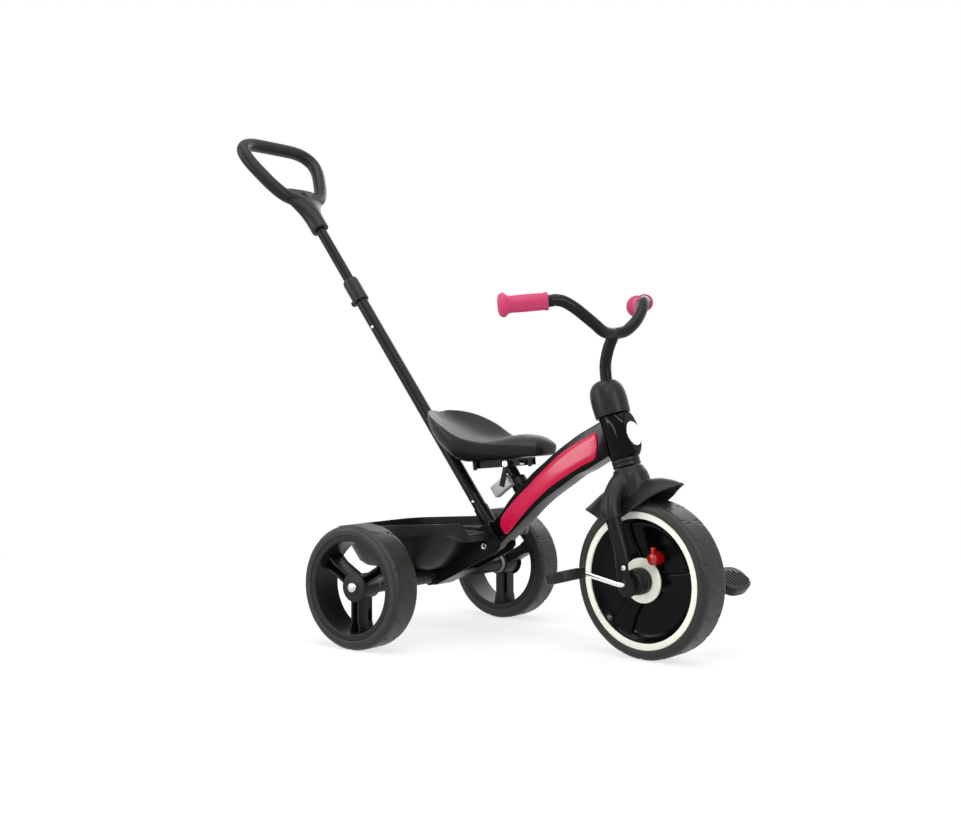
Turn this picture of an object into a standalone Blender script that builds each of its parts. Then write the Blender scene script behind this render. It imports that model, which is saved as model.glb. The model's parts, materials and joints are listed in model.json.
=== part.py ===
"""A small child's folding tricycle with a parent's push bar, as separate named pieces.

Metres, +Z up, +X forward and +Y to the rider's left. Lengths along the tricycle are taken from the
rear axle and heights from the floor. The root empty then brings the origin to the middle of the
footprint. The front fork stands turned a little to the rider's right.
"""

import math

import bmesh
import bpy
import numpy as np
from mathutils import Matrix, Quaternion, Vector

# Clearances and fineness
GAP = 0.0003
MERGE = 0.00001
REACH = 0.05
TYRE_STEPS = 36
WHEEL_STEPS = 28
ROUND_STEPS = 16
SMALL_STEPS = 12
HEAD_RINGS = 10
SMOOTH_ANGLE = math.radians(35)

# Rear wheels and their axle
REAR_TYRE_R = 0.1017
REAR_TYRE_W = 0.0567
REAR_FACE_Y = 0.2326
TYRE_SHOULDER = 0.0095
REAR_TYRE_DEPTH = 0.0163
REAR_RIM_R = REAR_TYRE_R - REAR_TYRE_DEPTH
REAR_RIM_BAND = 0.0104
REAR_RIM_OPENING_R = REAR_RIM_R - REAR_RIM_BAND
REAR_RIM_INSET = 0.0010
REAR_HUB_R = 0.0205
REAR_HUB_FACE = 0.0138
SPOKE_BACK = -0.0200
SPOKE_HALF_W = 0.0090
SPOKE_FLARE_W = 0.0115
SPOKE_FLARE_R = 0.0560
SPOKE_WALL = 0.0040
SPOKE_CHANNEL_FLOOR = -0.0060
SPOKE_ANGLES = (-90, 30, 150)
BUSH_R = 0.0170
BUSH_INNER_END = -0.0315
CAP_R = 0.0246
CAP_RIM_H = 0.0020
CAP_CROWN_H = 0.0056
NUT_R = 0.0089
NUT_H = 0.0070
AXLE_R = 0.0050
HOUSING_R = 0.0148
HOUSING_HALF_L = 0.1720

# Fold pin and rear bracket
FOLD_X = 0.1176
FOLD_Z = 0.1591
PIN_R = 0.0035
PIN_HEAD_R = 0.0052
PIN_HEAD_T = 0.0015
PIN_BORE_R = 0.0020
CHEEK_INNER_Y = 0.0206
SHEET = 0.0025
SADDLE_R = 0.0195
BRACKET_FRONT = ((0.1365, 0.1830), (0.1500, 0.1690), (0.1510, 0.1600), (0.1450, 0.1510))
BRACKET_UNDER = ((0.0560, 0.1058), (0.0140, 0.0850))
BRACKET_TOP_REAR = (0.0200, 0.1280)
FLOOR_END_X = 0.0700

# Push bar: it leans back from a socket on the bracket, and stations run up along it
BAR_X = 0.0842
BAR_Z = 0.2341
BAR_LEAN = math.radians(36.74)
STUB_R = 0.0096
STUB_NECK_R = 0.0068
STUB_NECK = -0.0120
STUB_TOP = 0.0200
BAR_LOW_R = 0.01115
BAR_BORE_R = 0.0100
FERRULE_R = 0.0128
FERRULE_END = -0.0500
FERRULE_TOP = -0.0150
BAR_LOW_TOP = 0.4500
BAR_UP_R = 0.00965
BAR_UP_BORE_R = 0.0084
BAR_UP_FOOT = 0.2800
COLLAR_OVERLAP = 0.0120
COLLAR_LENGTH = 0.0500
COLLAR_FOOT = BAR_LOW_TOP - COLLAR_OVERLAP
COLLAR_TOP = COLLAR_FOOT + COLLAR_LENGTH
COLLAR_R = 0.0148
BOSS_R = 0.0058
BOSS_UP = 0.0080
BOSS_STATION = COLLAR_FOOT + BOSS_UP
BOSS_END = 0.0195
BUTTON_R = 0.0030
BUTTON_PROUD = 0.0024
BUTTON_INNER = 0.0090
RELEASE_STATION = -0.0030
LENGTH_STATION = 0.3780
KEYWAY_BELOW = 0.0660
KEYWAY_ABOVE = 0.1080
KEYWAY = (LENGTH_STATION - KEYWAY_BELOW, LENGTH_STATION + KEYWAY_ABOVE)
COLLAR_BUTTON_R = 0.0040

# Push handle, in the plane across the bar: half of its loop as (across, station)
HANDLE_R = 0.0125
HANDLE_LOOP = (
    (0.0000, 0.8155),
    (0.0300, 0.8155),
    (0.0580, 0.8140),
    (0.0780, 0.8075),
    (0.0905, 0.7950),
    (0.0930, 0.7790),
    (0.0880, 0.7590),
    (0.0780, 0.7370),
    (0.0650, 0.7130),
    (0.0480, 0.6930),
    (0.0260, 0.6830),
    (0.0000, 0.6800),
)
NECK_FOOT = 0.6090
NECK_SECTIONS = (
    (0.0000, 0.0165, 0.0165),
    (0.0230, 0.0172, 0.0165),
    (0.0400, 0.0225, 0.0158),
    (0.0560, 0.0340, 0.0145),
    (0.0710, 0.0470, 0.0122),
    (0.0850, 0.0535, 0.0100),
    (0.0960, 0.0500, 0.0075),
)
NECK_SOCKET_DEPTH = 0.0300
THUMB_STATION = 0.6900
THUMB_R = 0.0065
THUMB_SEAT = 0.0070
THUMB_PROUD = 0.0125

# Main beam, as (forward, up): its upper edge front to back and its lower edge back to front
BEAM_UPPER = (
    (0.3500, 0.3750),
    (0.3407, 0.3703),
    (0.3207, 0.3599),
    (0.3038, 0.3510),
    (0.2781, 0.3346),
    (0.2556, 0.3189),
    (0.2345, 0.3022),
    (0.2166, 0.2884),
    (0.1988, 0.2722),
    (0.1863, 0.2606),
    (0.1716, 0.2443),
    (0.1626, 0.2342),
    (0.1496, 0.2171),
    (0.1367, 0.2045),
)
BEAM_LOWER = (
    (0.1388, 0.1552),
    (0.1574, 0.1730),
    (0.1757, 0.1892),
    (0.1976, 0.2093),
    (0.2121, 0.2235),
    (0.2300, 0.2385),
    (0.2476, 0.2513),
    (0.2739, 0.2685),
    (0.2964, 0.2839),
    (0.3169, 0.2934),
    (0.3356, 0.3041),
    (0.3620, 0.3190),
)
BEAM_HALF_W = 0.0200
BEAM_EDGE = 0.0080
BEAM_TAIL_R = 0.0180
PANEL_UPPER = (
    (0.3376, 0.3543),
    (0.3242, 0.3491),
    (0.3073, 0.3409),
    (0.2851, 0.3289),
    (0.2627, 0.3139),
    (0.2417, 0.2965),
    (0.2205, 0.2782),
    (0.2027, 0.2613),
    (0.1846, 0.2458),
    (0.1664, 0.2271),
    (0.1536, 0.2115),
)
PANEL_LOWER = (
    (0.1517, 0.1919),
    (0.1628, 0.1821),
    (0.1846, 0.2042),
    (0.2027, 0.2229),
    (0.2205, 0.2400),
    (0.2470, 0.2617),
    (0.2731, 0.2787),
    (0.3073, 0.2986),
    (0.3326, 0.3108),
    (0.3376, 0.3195),
    (0.3401, 0.3338),
)
PANEL_TAIL = (0.1499, 0.2008)
PANEL_T = 0.0028
PANEL_EDGE = 0.0015

# Steering axis and front fork, from the front hub
WHEELBASE = 0.4231
FORK_TRAIL = 0.0170
STEER_TILT = math.radians(18.0)
STEER_REST = math.radians(-7.34)
HEAD_FOOT = 0.1970
HEAD_TOP = 0.2682
HEAD_FOOT_R = 0.0225
HEAD_TOP_R = 0.0245
HEAD_BORE_R = 0.0126
BOSS_SWELL = 0.0145
BOSS_FADE = 1.07
BOSS_FACE = 0.0270
BOSS_CENTRE = 0.2312
BADGE_R = 0.0196
BADGE_T = 0.0018
STEERER_R = 0.0120
STEERER_FOOT = 0.1555
STEERER_TOP = 0.2840
BEARING_R = 0.0225
BEARING_FOOT = 0.1840
COLLAR_CONE = ((0.1340, 0.0290), (0.1600, 0.0300), (0.1700, 0.0285), (0.1820, 0.0235))
HEAD_CAP_FOOT = 0.2690
HEAD_CAP_OUTLINE = (
    (0.0596, 0.0000),
    (0.0588, 0.0110),
    (0.0555, 0.0190),
    (0.0480, 0.0255),
    (0.0370, 0.0287),
    (0.0220, 0.0295),
    (0.0000, 0.0285),
)
LEG_R = 0.0125
LEG_Y = 0.0550
LEG_BEHIND = 0.0114
LEG_TOP = 0.1120
SHROUD_FOOT = 0.1020
SHROUD_R = 0.0148
DROPOUT_Y = 0.0630
DROPOUT_HALF_T = 0.0030
LEG_SECTIONS = (
    (0.0560, LEG_R, LEG_R, 0.0),
    (0.0400, 0.0122, 0.0070, 0.6),
    (0.0270, 0.0122, DROPOUT_HALF_T, 1.0),
    (0.0140, 0.0128, DROPOUT_HALF_T, 1.0),
    (0.0060, 0.0154, DROPOUT_HALF_T, 1.0),
    (0.0000, 0.0165, DROPOUT_HALF_T, 1.0),
    (-0.0080, 0.0144, DROPOUT_HALF_T, 1.0),
    (-0.0130, 0.0102, DROPOUT_HALF_T, 1.0),
    (-0.0160, 0.0040, DROPOUT_HALF_T, 1.0),
)
SHOULDER = (
    (0.0040, 0.1550, 1.30),
    (0.0180, 0.1545, 1.15),
    (0.0340, 0.1455, 1.02),
    (0.0475, 0.1310, 1.00),
)
SHROUD_KNEE = (0.1150, 1.00)
FENDER_T = 0.0025
FENDER_STATIONS = (
    (-0.1200, 0.1070, 0.0110, 0.1035),
    (-0.0881, 0.1320, 0.0300, 0.0990),
    (-0.0611, 0.1450, 0.0400, 0.0930),
    (-0.0231, 0.1530, 0.0430, 0.1010),
    (0.0169, 0.1600, 0.0400, 0.1270),
    (0.0419, 0.1590, 0.0260, 0.1430),
    (0.0649, 0.1540, 0.0070, 0.1525),
)
FENDER_BOW = 1.7
TYRE_ROOM = 0.0030
FENDER_POINTS = 9
SCREW_UP = 0.0290
SCREW_FORWARD = 0.0060
SCREW_R = 0.0042
SCREW_T = 0.0025

# Handlebar, as (forward, across, up) from the rear axle
TUBE_R = 0.0095
STEM_FOOT = 0.2500
STEM_BENDS = ((0.3470, 0.4190), (0.3447, 0.4370), (0.3433, 0.4630), (0.3500, 0.4880), (0.3590, 0.5060))
BAR_HALF = (
    (0.3605, 0.0000, 0.5120),
    (0.3628, 0.0275, 0.5157),
    (0.3638, 0.0500, 0.5275),
    (0.3607, 0.0675, 0.5390),
    (0.3548, 0.0850, 0.5520),
    (0.3460, 0.1010, 0.5625),
    (0.3385, 0.1130, 0.5655),
)
GRIP_INNER = (0.3325, 0.1232, 0.5641)
GRIP_OUTER = (0.2745, 0.1762, 0.5593)
GRIP_SOCKET = 0.0620
GRIP_LEAD = 0.0040
GRIP_OUTLINE = (
    (0.0000, 0.0000),
    (0.0008, 0.0120),
    (0.0040, 0.0175),
    (0.0090, 0.0195),
    (0.0130, 0.0180),
    (0.0165, 0.0140),
    (0.0300, 0.0134),
    (0.0500, 0.0137),
    (0.0700, 0.0133),
    (0.0745, 0.0142),
    (0.0785, 0.0138),
)

# Front wheel
FRONT_TYRE_R = 0.1250
FRONT_TYRE_W = 0.0593
FRONT_TYRE_BORE_R = 0.1087
RING_INNER_R = 0.0979
RING_FACE = 0.0276
DISC_RIM_HALF = 0.0247
DISC_PANEL_HALF = 0.0130
DISC_DISH_R = 0.0930
WHEEL_SPOKE_HALF = 0.0188
WHEEL_SPOKE_W = 0.0320
WHEEL_SPOKE_OUTER_W = 0.0460
HUB_RING_R = 0.0330
FLANGE_R = 0.0356
FLANGE_FACE = 0.0220
CORE_R = 0.0200
DRUM_R = 0.0212
DRUM_END = 0.0500
KNOB_R = 0.0105
KNOB_ACROSS = 0.0285
KNOB_UP = 0.0370
KNOB_TOP = 0.0355
KNOB_TAB = 0.0080
KNOB_TAB_W = 0.0070
KNOB_TAB_DOWN = 0.0030

# Cranks and pedals
CRANK_R = 0.0040
CRANK_ARM = 0.0700
CRANK_LIFT = math.radians(12.0)
CRANK_ROOT_Y = 0.0745
CRANK_KNEE_Y = 0.0835
CRANK_BEND = 0.0075
PEDAL_Y = 0.1250
PEDAL_T = 0.0170
PEDAL_EDGE = 0.0035
PEDAL_SPINDLE = 0.0265
PEDAL_SOCKET = 0.0285
PEDAL_TILT_RIGHT = math.radians(-15.0)
PEDAL_TILT_LEFT = math.radians(38.0)
PEDAL_HALF = ((0.0140, -0.0340), (0.0235, -0.0220), (0.0255, 0.0050), (0.0215, 0.0240), (0.0100, 0.0350))
CRANK_BUSH_R = 0.0065
CRANK_BUSH_FLANGE_R = 0.0095
CRANK_BUSH_END = 0.0672

# Seat and its post
POST_FOOT_X = 0.1780
POST_FOOT_Z = 0.2620
POST_R = 0.0095
POST_DEPTH = 0.0400
POST_SOCKET_DEPTH = 0.0420
CLAMP_TOP = 0.0145
POST_BOSS_R = 0.0152
SEAT_STATIONS = (
    (0.0040, 0.0200, 0.3885, 0.3865, 0.3800, 0.0160),
    (0.0120, 0.0420, 0.3880, 0.3800, 0.3740, 0.0340),
    (0.0260, 0.0620, 0.3845, 0.3680, 0.3600, 0.0480),
    (0.0450, 0.0770, 0.3765, 0.3570, 0.3360, 0.0580),
    (0.0700, 0.0845, 0.3640, 0.3430, 0.3160, 0.0620),
    (0.0950, 0.0840, 0.3495, 0.3340, 0.3020, 0.0600),
    (0.1200, 0.0765, 0.3405, 0.3320, 0.3040, 0.0540),
    (0.1500, 0.0620, 0.3350, 0.3425, 0.3070, 0.0440),
    (0.1800, 0.0500, 0.3345, 0.3490, 0.3100, 0.0360),
    (0.2050, 0.0440, 0.3340, 0.3487, 0.3120, 0.0320),
    (0.2190, 0.0395, 0.3335, 0.3460, 0.3135, 0.0300),
    (0.2285, 0.0310, 0.3320, 0.3400, 0.3150, 0.0240),
    (0.2330, 0.0160, 0.3290, 0.3325, 0.3190, 0.0120),
)
PLATE_BACK_X = 0.0960
PLATE_FRONT_X = 0.1900
PLATE_HALF_W = 0.0250
PLATE_T = 0.0030
PLATE_RAIL_H = 0.0130
STUD_R = 0.0040
STUD_L = 0.0150
STUD_REAR_X = 0.1027
STUD_FRONT_X = 0.2150
STUD_Y = 0.0300
BOLT_X = 0.1680
BOLT_DROP = 0.0085
BOLT_R = 0.0035
BOLT_HEAD_R = 0.0055
BOLT_HEAD_H = 0.0022
BOLT_HALF_L = 0.0330
LATCH_X = 0.1550
LATCH_Z = 0.2620
LATCH_LONG = 0.0390
LATCH_TALL = 0.0210
LATCH_INNER_Y = 0.0150
CLAMP_R = LATCH_INNER_Y - GAP
LATCH_OUTER_Y = 0.0290
STRAP_W = 0.0090
STRAP_T = 0.0030

# Basket, in plan: half length, half width, corner radius and middle, each at its own height
BASKET_WALL = 0.0028
BASKET_BAND = 0.0190
BASKET_RIM_Z = 0.1943
BASKET_RIM_SLOPE = 0.0717
BASKET_FLOOR_PLAN = (0.0750, 0.0800, 0.0320, -0.0400)
BASKET_TURN_PLAN = (0.0875, 0.0890, 0.0360, -0.0375)
BASKET_SIDE_PLAN = (0.1050, 0.1010, 0.0450, -0.0310)
BASKET_LEDGE_PLAN = (0.1185, 0.1090, 0.0450, -0.0265)
BASKET_RIM_PLAN = (0.1400, 0.1150, 0.0350, -0.0100)
BASKET_TURN_UP = 0.0080
BASKET_SIDE_UP = 0.0300
BASKET_CORNER_STEPS = 5
BASKET_SLOT_HALF_W = 0.0265
BASKET_SLOT_BACK = -0.0240
BASKET_FRONT_DROP = 0.0134
BASKET_FRONT_DROP_RUN = 0.0120
BASKET_FRONT_DIP_Z = 0.1840
BASKET_FRONT_DIP_X = 0.1000
BASKET_DIP_SIDE = ((0.0985, REACH), (0.0975, 0.0190), (0.0940, 0.0165), (0.0880, 0.0040), (0.0820, 0.0000))

# Colour, roughness and metallic value of each finish
FINISHES = {
    "matte_black": ((0.032, 0.034, 0.030), 0.55, 0.0),
    "gloss_black": ((0.010, 0.011, 0.011), 0.12, 0.0),
    "tyre_black": ((0.040, 0.041, 0.037), 0.62, 0.0),
    "crimson": ((0.600, 0.014, 0.075), 0.18, 0.0),
    "pink": ((0.640, 0.045, 0.160), 0.50, 0.0),
    "cream": ((0.790, 0.790, 0.690), 0.40, 0.0),
    "white": ((0.850, 0.850, 0.850), 0.25, 0.0),
    "grey_plastic": ((0.350, 0.350, 0.340), 0.45, 0.0),
    "silver_plastic": ((0.300, 0.300, 0.310), 0.35, 0.3),
    "painted_steel": ((0.022, 0.024, 0.022), 0.38, 0.0),
    "steel": ((0.620, 0.620, 0.610), 0.30, 1.0),
    "chrome": ((0.780, 0.780, 0.780), 0.10, 1.0),
    "red": ((0.330, 0.000, 0.000), 0.20, 0.0),
}

STEER_AXIS = Vector((-math.sin(STEER_TILT), 0, math.cos(STEER_TILT)))
STEER_FORWARD = Vector((math.cos(STEER_TILT), 0, math.sin(STEER_TILT)))
BAR_UP = Vector((-math.sin(BAR_LEAN), 0, math.cos(BAR_LEAN)))
BAR_NORMAL = Vector((math.cos(BAR_LEAN), 0, math.sin(BAR_LEAN)))
ACROSS = Vector((0, 1, 0))
SIDE_PLANE = Matrix.Rotation(math.radians(90), 4, "X")
FOLD_PIN = Vector((FOLD_X, 0, FOLD_Z))
CHEEK_OUTER_Y = CHEEK_INNER_Y + SHEET
REAR_WHEEL_Y = REAR_FACE_Y - REAR_TYRE_W / 2
POST_FOOT = Vector((POST_FOOT_X, 0, POST_FOOT_Z))


def new_collection(name):
    """A collection under the scene's own."""
    made = bpy.data.collections.new(name)
    bpy.context.scene.collection.children.link(made)
    return made


def clear_scene():
    """Takes every object out of the scene."""
    for item in list(bpy.data.objects):
        bpy.data.objects.remove(item, do_unlink=True)


clear_scene()
PIECES = new_collection("folding_tricycle")
CUTTERS = new_collection("folding_tricycle_cutters")


def front_hub_height():
    """Height of the front hub at which the turned and leaning tyre just touches the floor."""
    turn = Matrix.Rotation(STEER_REST, 3, STEER_AXIS)
    lean = abs((turn @ ACROSS).z)
    tread_half = FRONT_TYRE_W / 2 - TYRE_SHOULDER
    reach = FRONT_TYRE_R * math.sqrt(1 - lean**2) + tread_half * lean
    return reach - (turn @ Vector((-FORK_TRAIL, 0, 0))).z


HUB = Vector((WHEELBASE, 0, front_hub_height()))


def on_axis(station, forward=0.0, across=0.0):
    """Point at a station up the steering axis, whose foot is level with the front hub."""
    foot = HUB + Vector((FORK_TRAIL, 0, 0))
    return foot + STEER_AXIS * station + STEER_FORWARD * forward + ACROSS * across


def on_bar(station, across=0.0, out=0.0):
    """Point at a station up the push bar, across it and out along its forward normal."""
    return Vector((BAR_X, 0, BAR_Z)) + BAR_UP * station + ACROSS * across + BAR_NORMAL * out


def on_post(station, out=0.0):
    """Point at a station up the seat post, which is parallel to the push bar."""
    return POST_FOOT + BAR_UP * station + BAR_NORMAL * out


def frame_empty(name, point, parent=None):
    """An empty at a point of the tricycle, which carries pieces or other empties."""
    empty = bpy.data.objects.new(name, None)
    empty["point"] = tuple(point)
    empty.empty_display_size = 0.02
    PIECES.objects.link(empty)
    if parent is None:
        empty.location = point
    else:
        empty.parent = parent
        empty.location = Vector(point) - Vector(parent["point"])
    return empty


def link(name, data):
    """Puts new geometry in the scene as an object of that name."""
    obj = bpy.data.objects.new(name, data)
    PIECES.objects.link(obj)
    return obj


def smooth(mesh):
    """Shades a mesh smooth, with its real edges kept sharp."""
    mesh.shade_smooth()
    mesh.set_sharp_from_angle(angle=SMOOTH_ANGLE)


def from_bmesh(name, shape):
    """Turns a bmesh with closed faces into an object."""
    bmesh.ops.recalc_face_normals(shape, faces=shape.faces)
    mesh = bpy.data.meshes.new(name)
    shape.to_mesh(mesh)
    shape.free()
    smooth(mesh)
    return link(name, mesh)


def as_mesh(obj):
    """Makes a curve object a mesh object with welded caps."""
    name = obj.name
    bpy.context.view_layer.update()
    graph = bpy.context.evaluated_depsgraph_get()
    mesh = bpy.data.meshes.new_from_object(obj.evaluated_get(graph))
    place = obj.matrix_world.copy()
    bpy.data.objects.remove(obj, do_unlink=True)
    shape = bmesh.new()
    shape.from_mesh(mesh)
    bpy.data.meshes.remove(mesh)
    bmesh.ops.remove_doubles(shape, verts=shape.verts, dist=MERGE)
    solid = from_bmesh(name, shape)
    solid.matrix_world = place
    return solid


def turned(name, profile, steps=ROUND_STEPS):
    """A turned piece about its local Z. The (radius, height) profile runs down the outer side first."""
    mesh = bpy.data.meshes.new(name)
    corners = [(radius, 0, height) for radius, height in profile]
    edges = [(i, i + 1) for i in range(len(corners) - 1)]
    if profile[0][0] > 0:
        edges.append((len(corners) - 1, 0))
    mesh.from_pydata(corners, edges, [])
    obj = link(name, mesh)
    screw = obj.modifiers.new("Turn", "SCREW")
    screw.steps = steps
    screw.render_steps = steps
    screw.use_merge_vertices = True
    screw.merge_threshold = MERGE
    return obj


def tube(name, route, radius, sides=10, radii=None, cyclic=False):
    """A round tube along a route, as a curve with filled caps."""
    curve = bpy.data.curves.new(name, "CURVE")
    curve.dimensions = "3D"
    curve.bevel_depth = radius
    curve.bevel_resolution = (sides - 4) // 2
    curve.use_fill_caps = not cyclic
    spline = curve.splines.new("POLY")
    spline.points.add(len(route) - 1)
    spline.use_cyclic_u = cyclic
    spline.use_smooth = True
    for index, place in enumerate(route):
        spline.points[index].co = (*place, 1)
        spline.points[index].radius = radii[index] if radii else 1
    return link(name, curve)


def plate(name, outlines, thickness, place=SIDE_PLANE):
    """A flat piece of even thickness about the plane of its closed outlines."""
    curve = bpy.data.curves.new(name, "CURVE")
    curve.dimensions = "2D"
    curve.fill_mode = "BOTH"
    curve.extrude = thickness / 2
    for outline in outlines:
        spline = curve.splines.new("POLY")
        spline.points.add(len(outline) - 1)
        spline.use_cyclic_u = True
        for index, (u, v) in enumerate(outline):
            spline.points[index].co = (u, v, 0, 1)
    solid = as_mesh(link(name, curve))
    solid.data.transform(place)
    if place.determinant() < 0:
        solid.data.flip_normals()
    return solid


def loft(name, rings):
    """A closed skin over rings that have the same number of points."""
    shape = bmesh.new()
    loops = [[shape.verts.new(point) for point in ring] for ring in rings]
    for near, far in zip(loops, loops[1:]):
        for index in range(len(near)):
            shape.faces.new((near[index - 1], near[index], far[index], far[index - 1]))
    shape.faces.new(loops[0])
    shape.faces.new(loops[-1])
    return from_bmesh(name, shape)


def rod(name, radius, start, end, sides=ROUND_STEPS, end_radius=None):
    """A straight round piece from one point to another, with an end radius where it tapers."""
    start = Vector(start)
    run = Vector(end) - start
    shape = bmesh.new()
    turn = run.to_track_quat("Z", "Y").to_matrix().to_4x4()
    bmesh.ops.create_cone(
        shape,
        cap_ends=True,
        segments=sides,
        radius1=radius,
        radius2=radius if end_radius is None else end_radius,
        depth=run.length,
        matrix=Matrix.Translation(start + run / 2) @ turn,
    )
    return from_bmesh(name, shape)


def block(name, size, place):
    """A box of a given size, centred and turned by a matrix."""
    shape = bmesh.new()
    bmesh.ops.create_cube(shape, size=1, matrix=place @ Matrix.Diagonal((*size, 1)))
    return from_bmesh(name, shape)


def axes(origin, along, beside):
    """A matrix whose X and Y follow two square directions, with its origin at a point."""
    third = along.cross(beside)
    turn = Matrix((along, beside, third)).transposed().to_4x4()
    return Matrix.Translation(origin) @ turn


def round_edges(obj, width, segments=2):
    """Rounds the sharp edges of a piece."""
    bevel = obj.modifiers.new("Round", "BEVEL")
    bevel.width = width
    bevel.segments = segments
    bevel.limit_method = "ANGLE"
    bevel.angle_limit = SMOOTH_ANGLE


def helper(tool, owner):
    """Keeps a cutting or joining shape out of sight, in its owner's own coordinates."""
    tool.parent = owner
    tool.hide_render = True
    tool.display_type = "WIRE"
    PIECES.objects.unlink(tool)
    CUTTERS.objects.link(tool)


def combine(obj, tools, operation):
    """Adds one Boolean modifier for each shape."""
    for tool in tools:
        step = obj.modifiers.new(tool.name, "BOOLEAN")
        step.operation = operation
        step.object = tool
        helper(tool, obj)


def join(obj, *tools):
    """Joins shapes to a piece."""
    combine(obj, tools, "UNION")


def cut(obj, *tools):
    """Cuts shapes from a piece."""
    combine(obj, tools, "DIFFERENCE")


def finish(obj, kind):
    """Gives a piece its own material."""
    colour, roughness, metallic = FINISHES[kind]
    skin = bpy.data.materials.new(obj.name)
    skin.use_nodes = True
    shader = skin.node_tree.nodes["Principled BSDF"]
    shader.inputs["Base Color"].default_value = (*colour, 1)
    shader.inputs["Roughness"].default_value = roughness
    shader.inputs["Metallic"].default_value = metallic
    obj.data.materials.clear()
    obj.data.materials.append(skin)


def ride(obj, frame, kind):
    """Carries a piece that was drawn in the tricycle's coordinates."""
    obj.parent = frame
    obj.location = -Vector(frame["point"])
    finish(obj, kind)


def seat_on(obj, frame, kind, at=(0, 0, 0), aim=None):
    """Carries a piece that was drawn about its own origin, at a point of its frame's own axes."""
    obj.parent = frame
    obj.location = at
    if aim is not None:
        obj.rotation_mode = "QUATERNION"
        obj.rotation_quaternion = aim
    finish(obj, kind)


def on_steer_axis(obj, frame, kind, station):
    """Carries a turned piece whose own Z lies on the steering axis."""
    tilt = Quaternion(ACROSS, -STEER_TILT)
    seat_on(obj, frame, kind, on_axis(station) - Vector(frame["point"]), tilt)


def on_push_bar(obj, frame, kind, station):
    """Carries a turned piece whose own Z lies on the push bar's axis."""
    lean = Quaternion(ACROSS, -BAR_LEAN)
    seat_on(obj, frame, kind, on_bar(station) - Vector(frame["point"]), lean)


def ellipse(centre, first, second, count):
    """Points of an ellipse about a centre, given its two half axes as vectors."""
    steps = [2 * math.pi * index / count for index in range(count)]
    return [centre + first * math.cos(step) + second * math.sin(step) for step in steps]


def smooth_route(points, steps):
    """A smooth curve through points, with the given number of steps to each span."""
    points = [Vector(point) for point in points]
    ends = [points[0] * 2 - points[1], *points, points[-1] * 2 - points[-2]]
    route = [points[0]]
    for index in range(1, len(ends) - 2):
        before, start, end, after = ends[index - 1 : index + 3]
        for step in range(1, steps + 1):
            t = step / steps
            route.append(
                0.5
                * (
                    2 * start
                    + (end - before) * t
                    + (2 * before - 5 * start + 4 * end - after) * t**2
                    + (3 * start - before - 3 * end + after) * t**3
                )
            )
    return route


def bent_route(points, radius, steps=3):
    """Straight runs between points, with each inner corner rounded."""
    points = [Vector(point) for point in points]
    route = [points[0]]
    for before, corner, after in zip(points, points[1:], points[2:]):
        enter = (before - corner).normalized()
        leave = (after - corner).normalized()
        half = enter.angle(leave) / 2
        reach = radius / math.tan(half)
        centre = corner + (enter + leave).normalized() * radius / math.sin(half)
        first = corner + enter * reach - centre
        last = corner + leave * reach - centre
        sweep = first.angle(last)
        pivot = first.cross(last).normalized()
        for step in range(steps + 1):
            route.append(centre + Matrix.Rotation(sweep * step / steps, 3, pivot) @ first)
    route.append(points[-1])
    return route


def rear_tyre(name, hub):
    """A plain hollow-moulded tyre with sloping shoulders."""
    half = REAR_TYRE_W / 2
    shoulder = TYRE_SHOULDER
    profile = tyre_profile(REAR_TYRE_R, half, shoulder, REAR_RIM_R + GAP)
    seat_on(turned(name, profile, TYRE_STEPS), hub, "tyre_black")


def tyre_profile(radius, half, shoulder, bore):
    """Cross-section of a tyre, from its outer face down round the tread and back."""
    return (
        (radius - shoulder, half),
        (radius - shoulder * 0.3, half - shoulder * 0.4),
        (radius, half - shoulder),
        (radius, shoulder - half),
        (radius - shoulder * 0.3, shoulder * 0.4 - half),
        (radius - shoulder, -half),
        (bore, -half),
        (bore, half),
    )


def radial_plates(name, outline, low, high, angles):
    """Copies of one flat shape about local Z, between two heights, as one mesh."""
    shape = bmesh.new()
    for angle in angles:
        turn = Matrix.Rotation(math.radians(angle), 4, "Z")
        lift = Matrix.Translation((0, 0, (low + high) / 2))
        spoke = plate(name, (outline,), high - low, turn @ lift)
        shape.from_mesh(spoke.data)
        bpy.data.objects.remove(spoke, do_unlink=True)
    return from_bmesh(name, shape)


def spoke_outline(start, flare, end, half, flare_half):
    """A bar along +X that widens to its outer end."""
    widen = (flare + end) / 2
    near = [(start, -half), (flare, -half), (widen, -flare_half), (end, -flare_half)]
    return near + [(x, -y) for x, y in reversed(near)]


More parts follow.
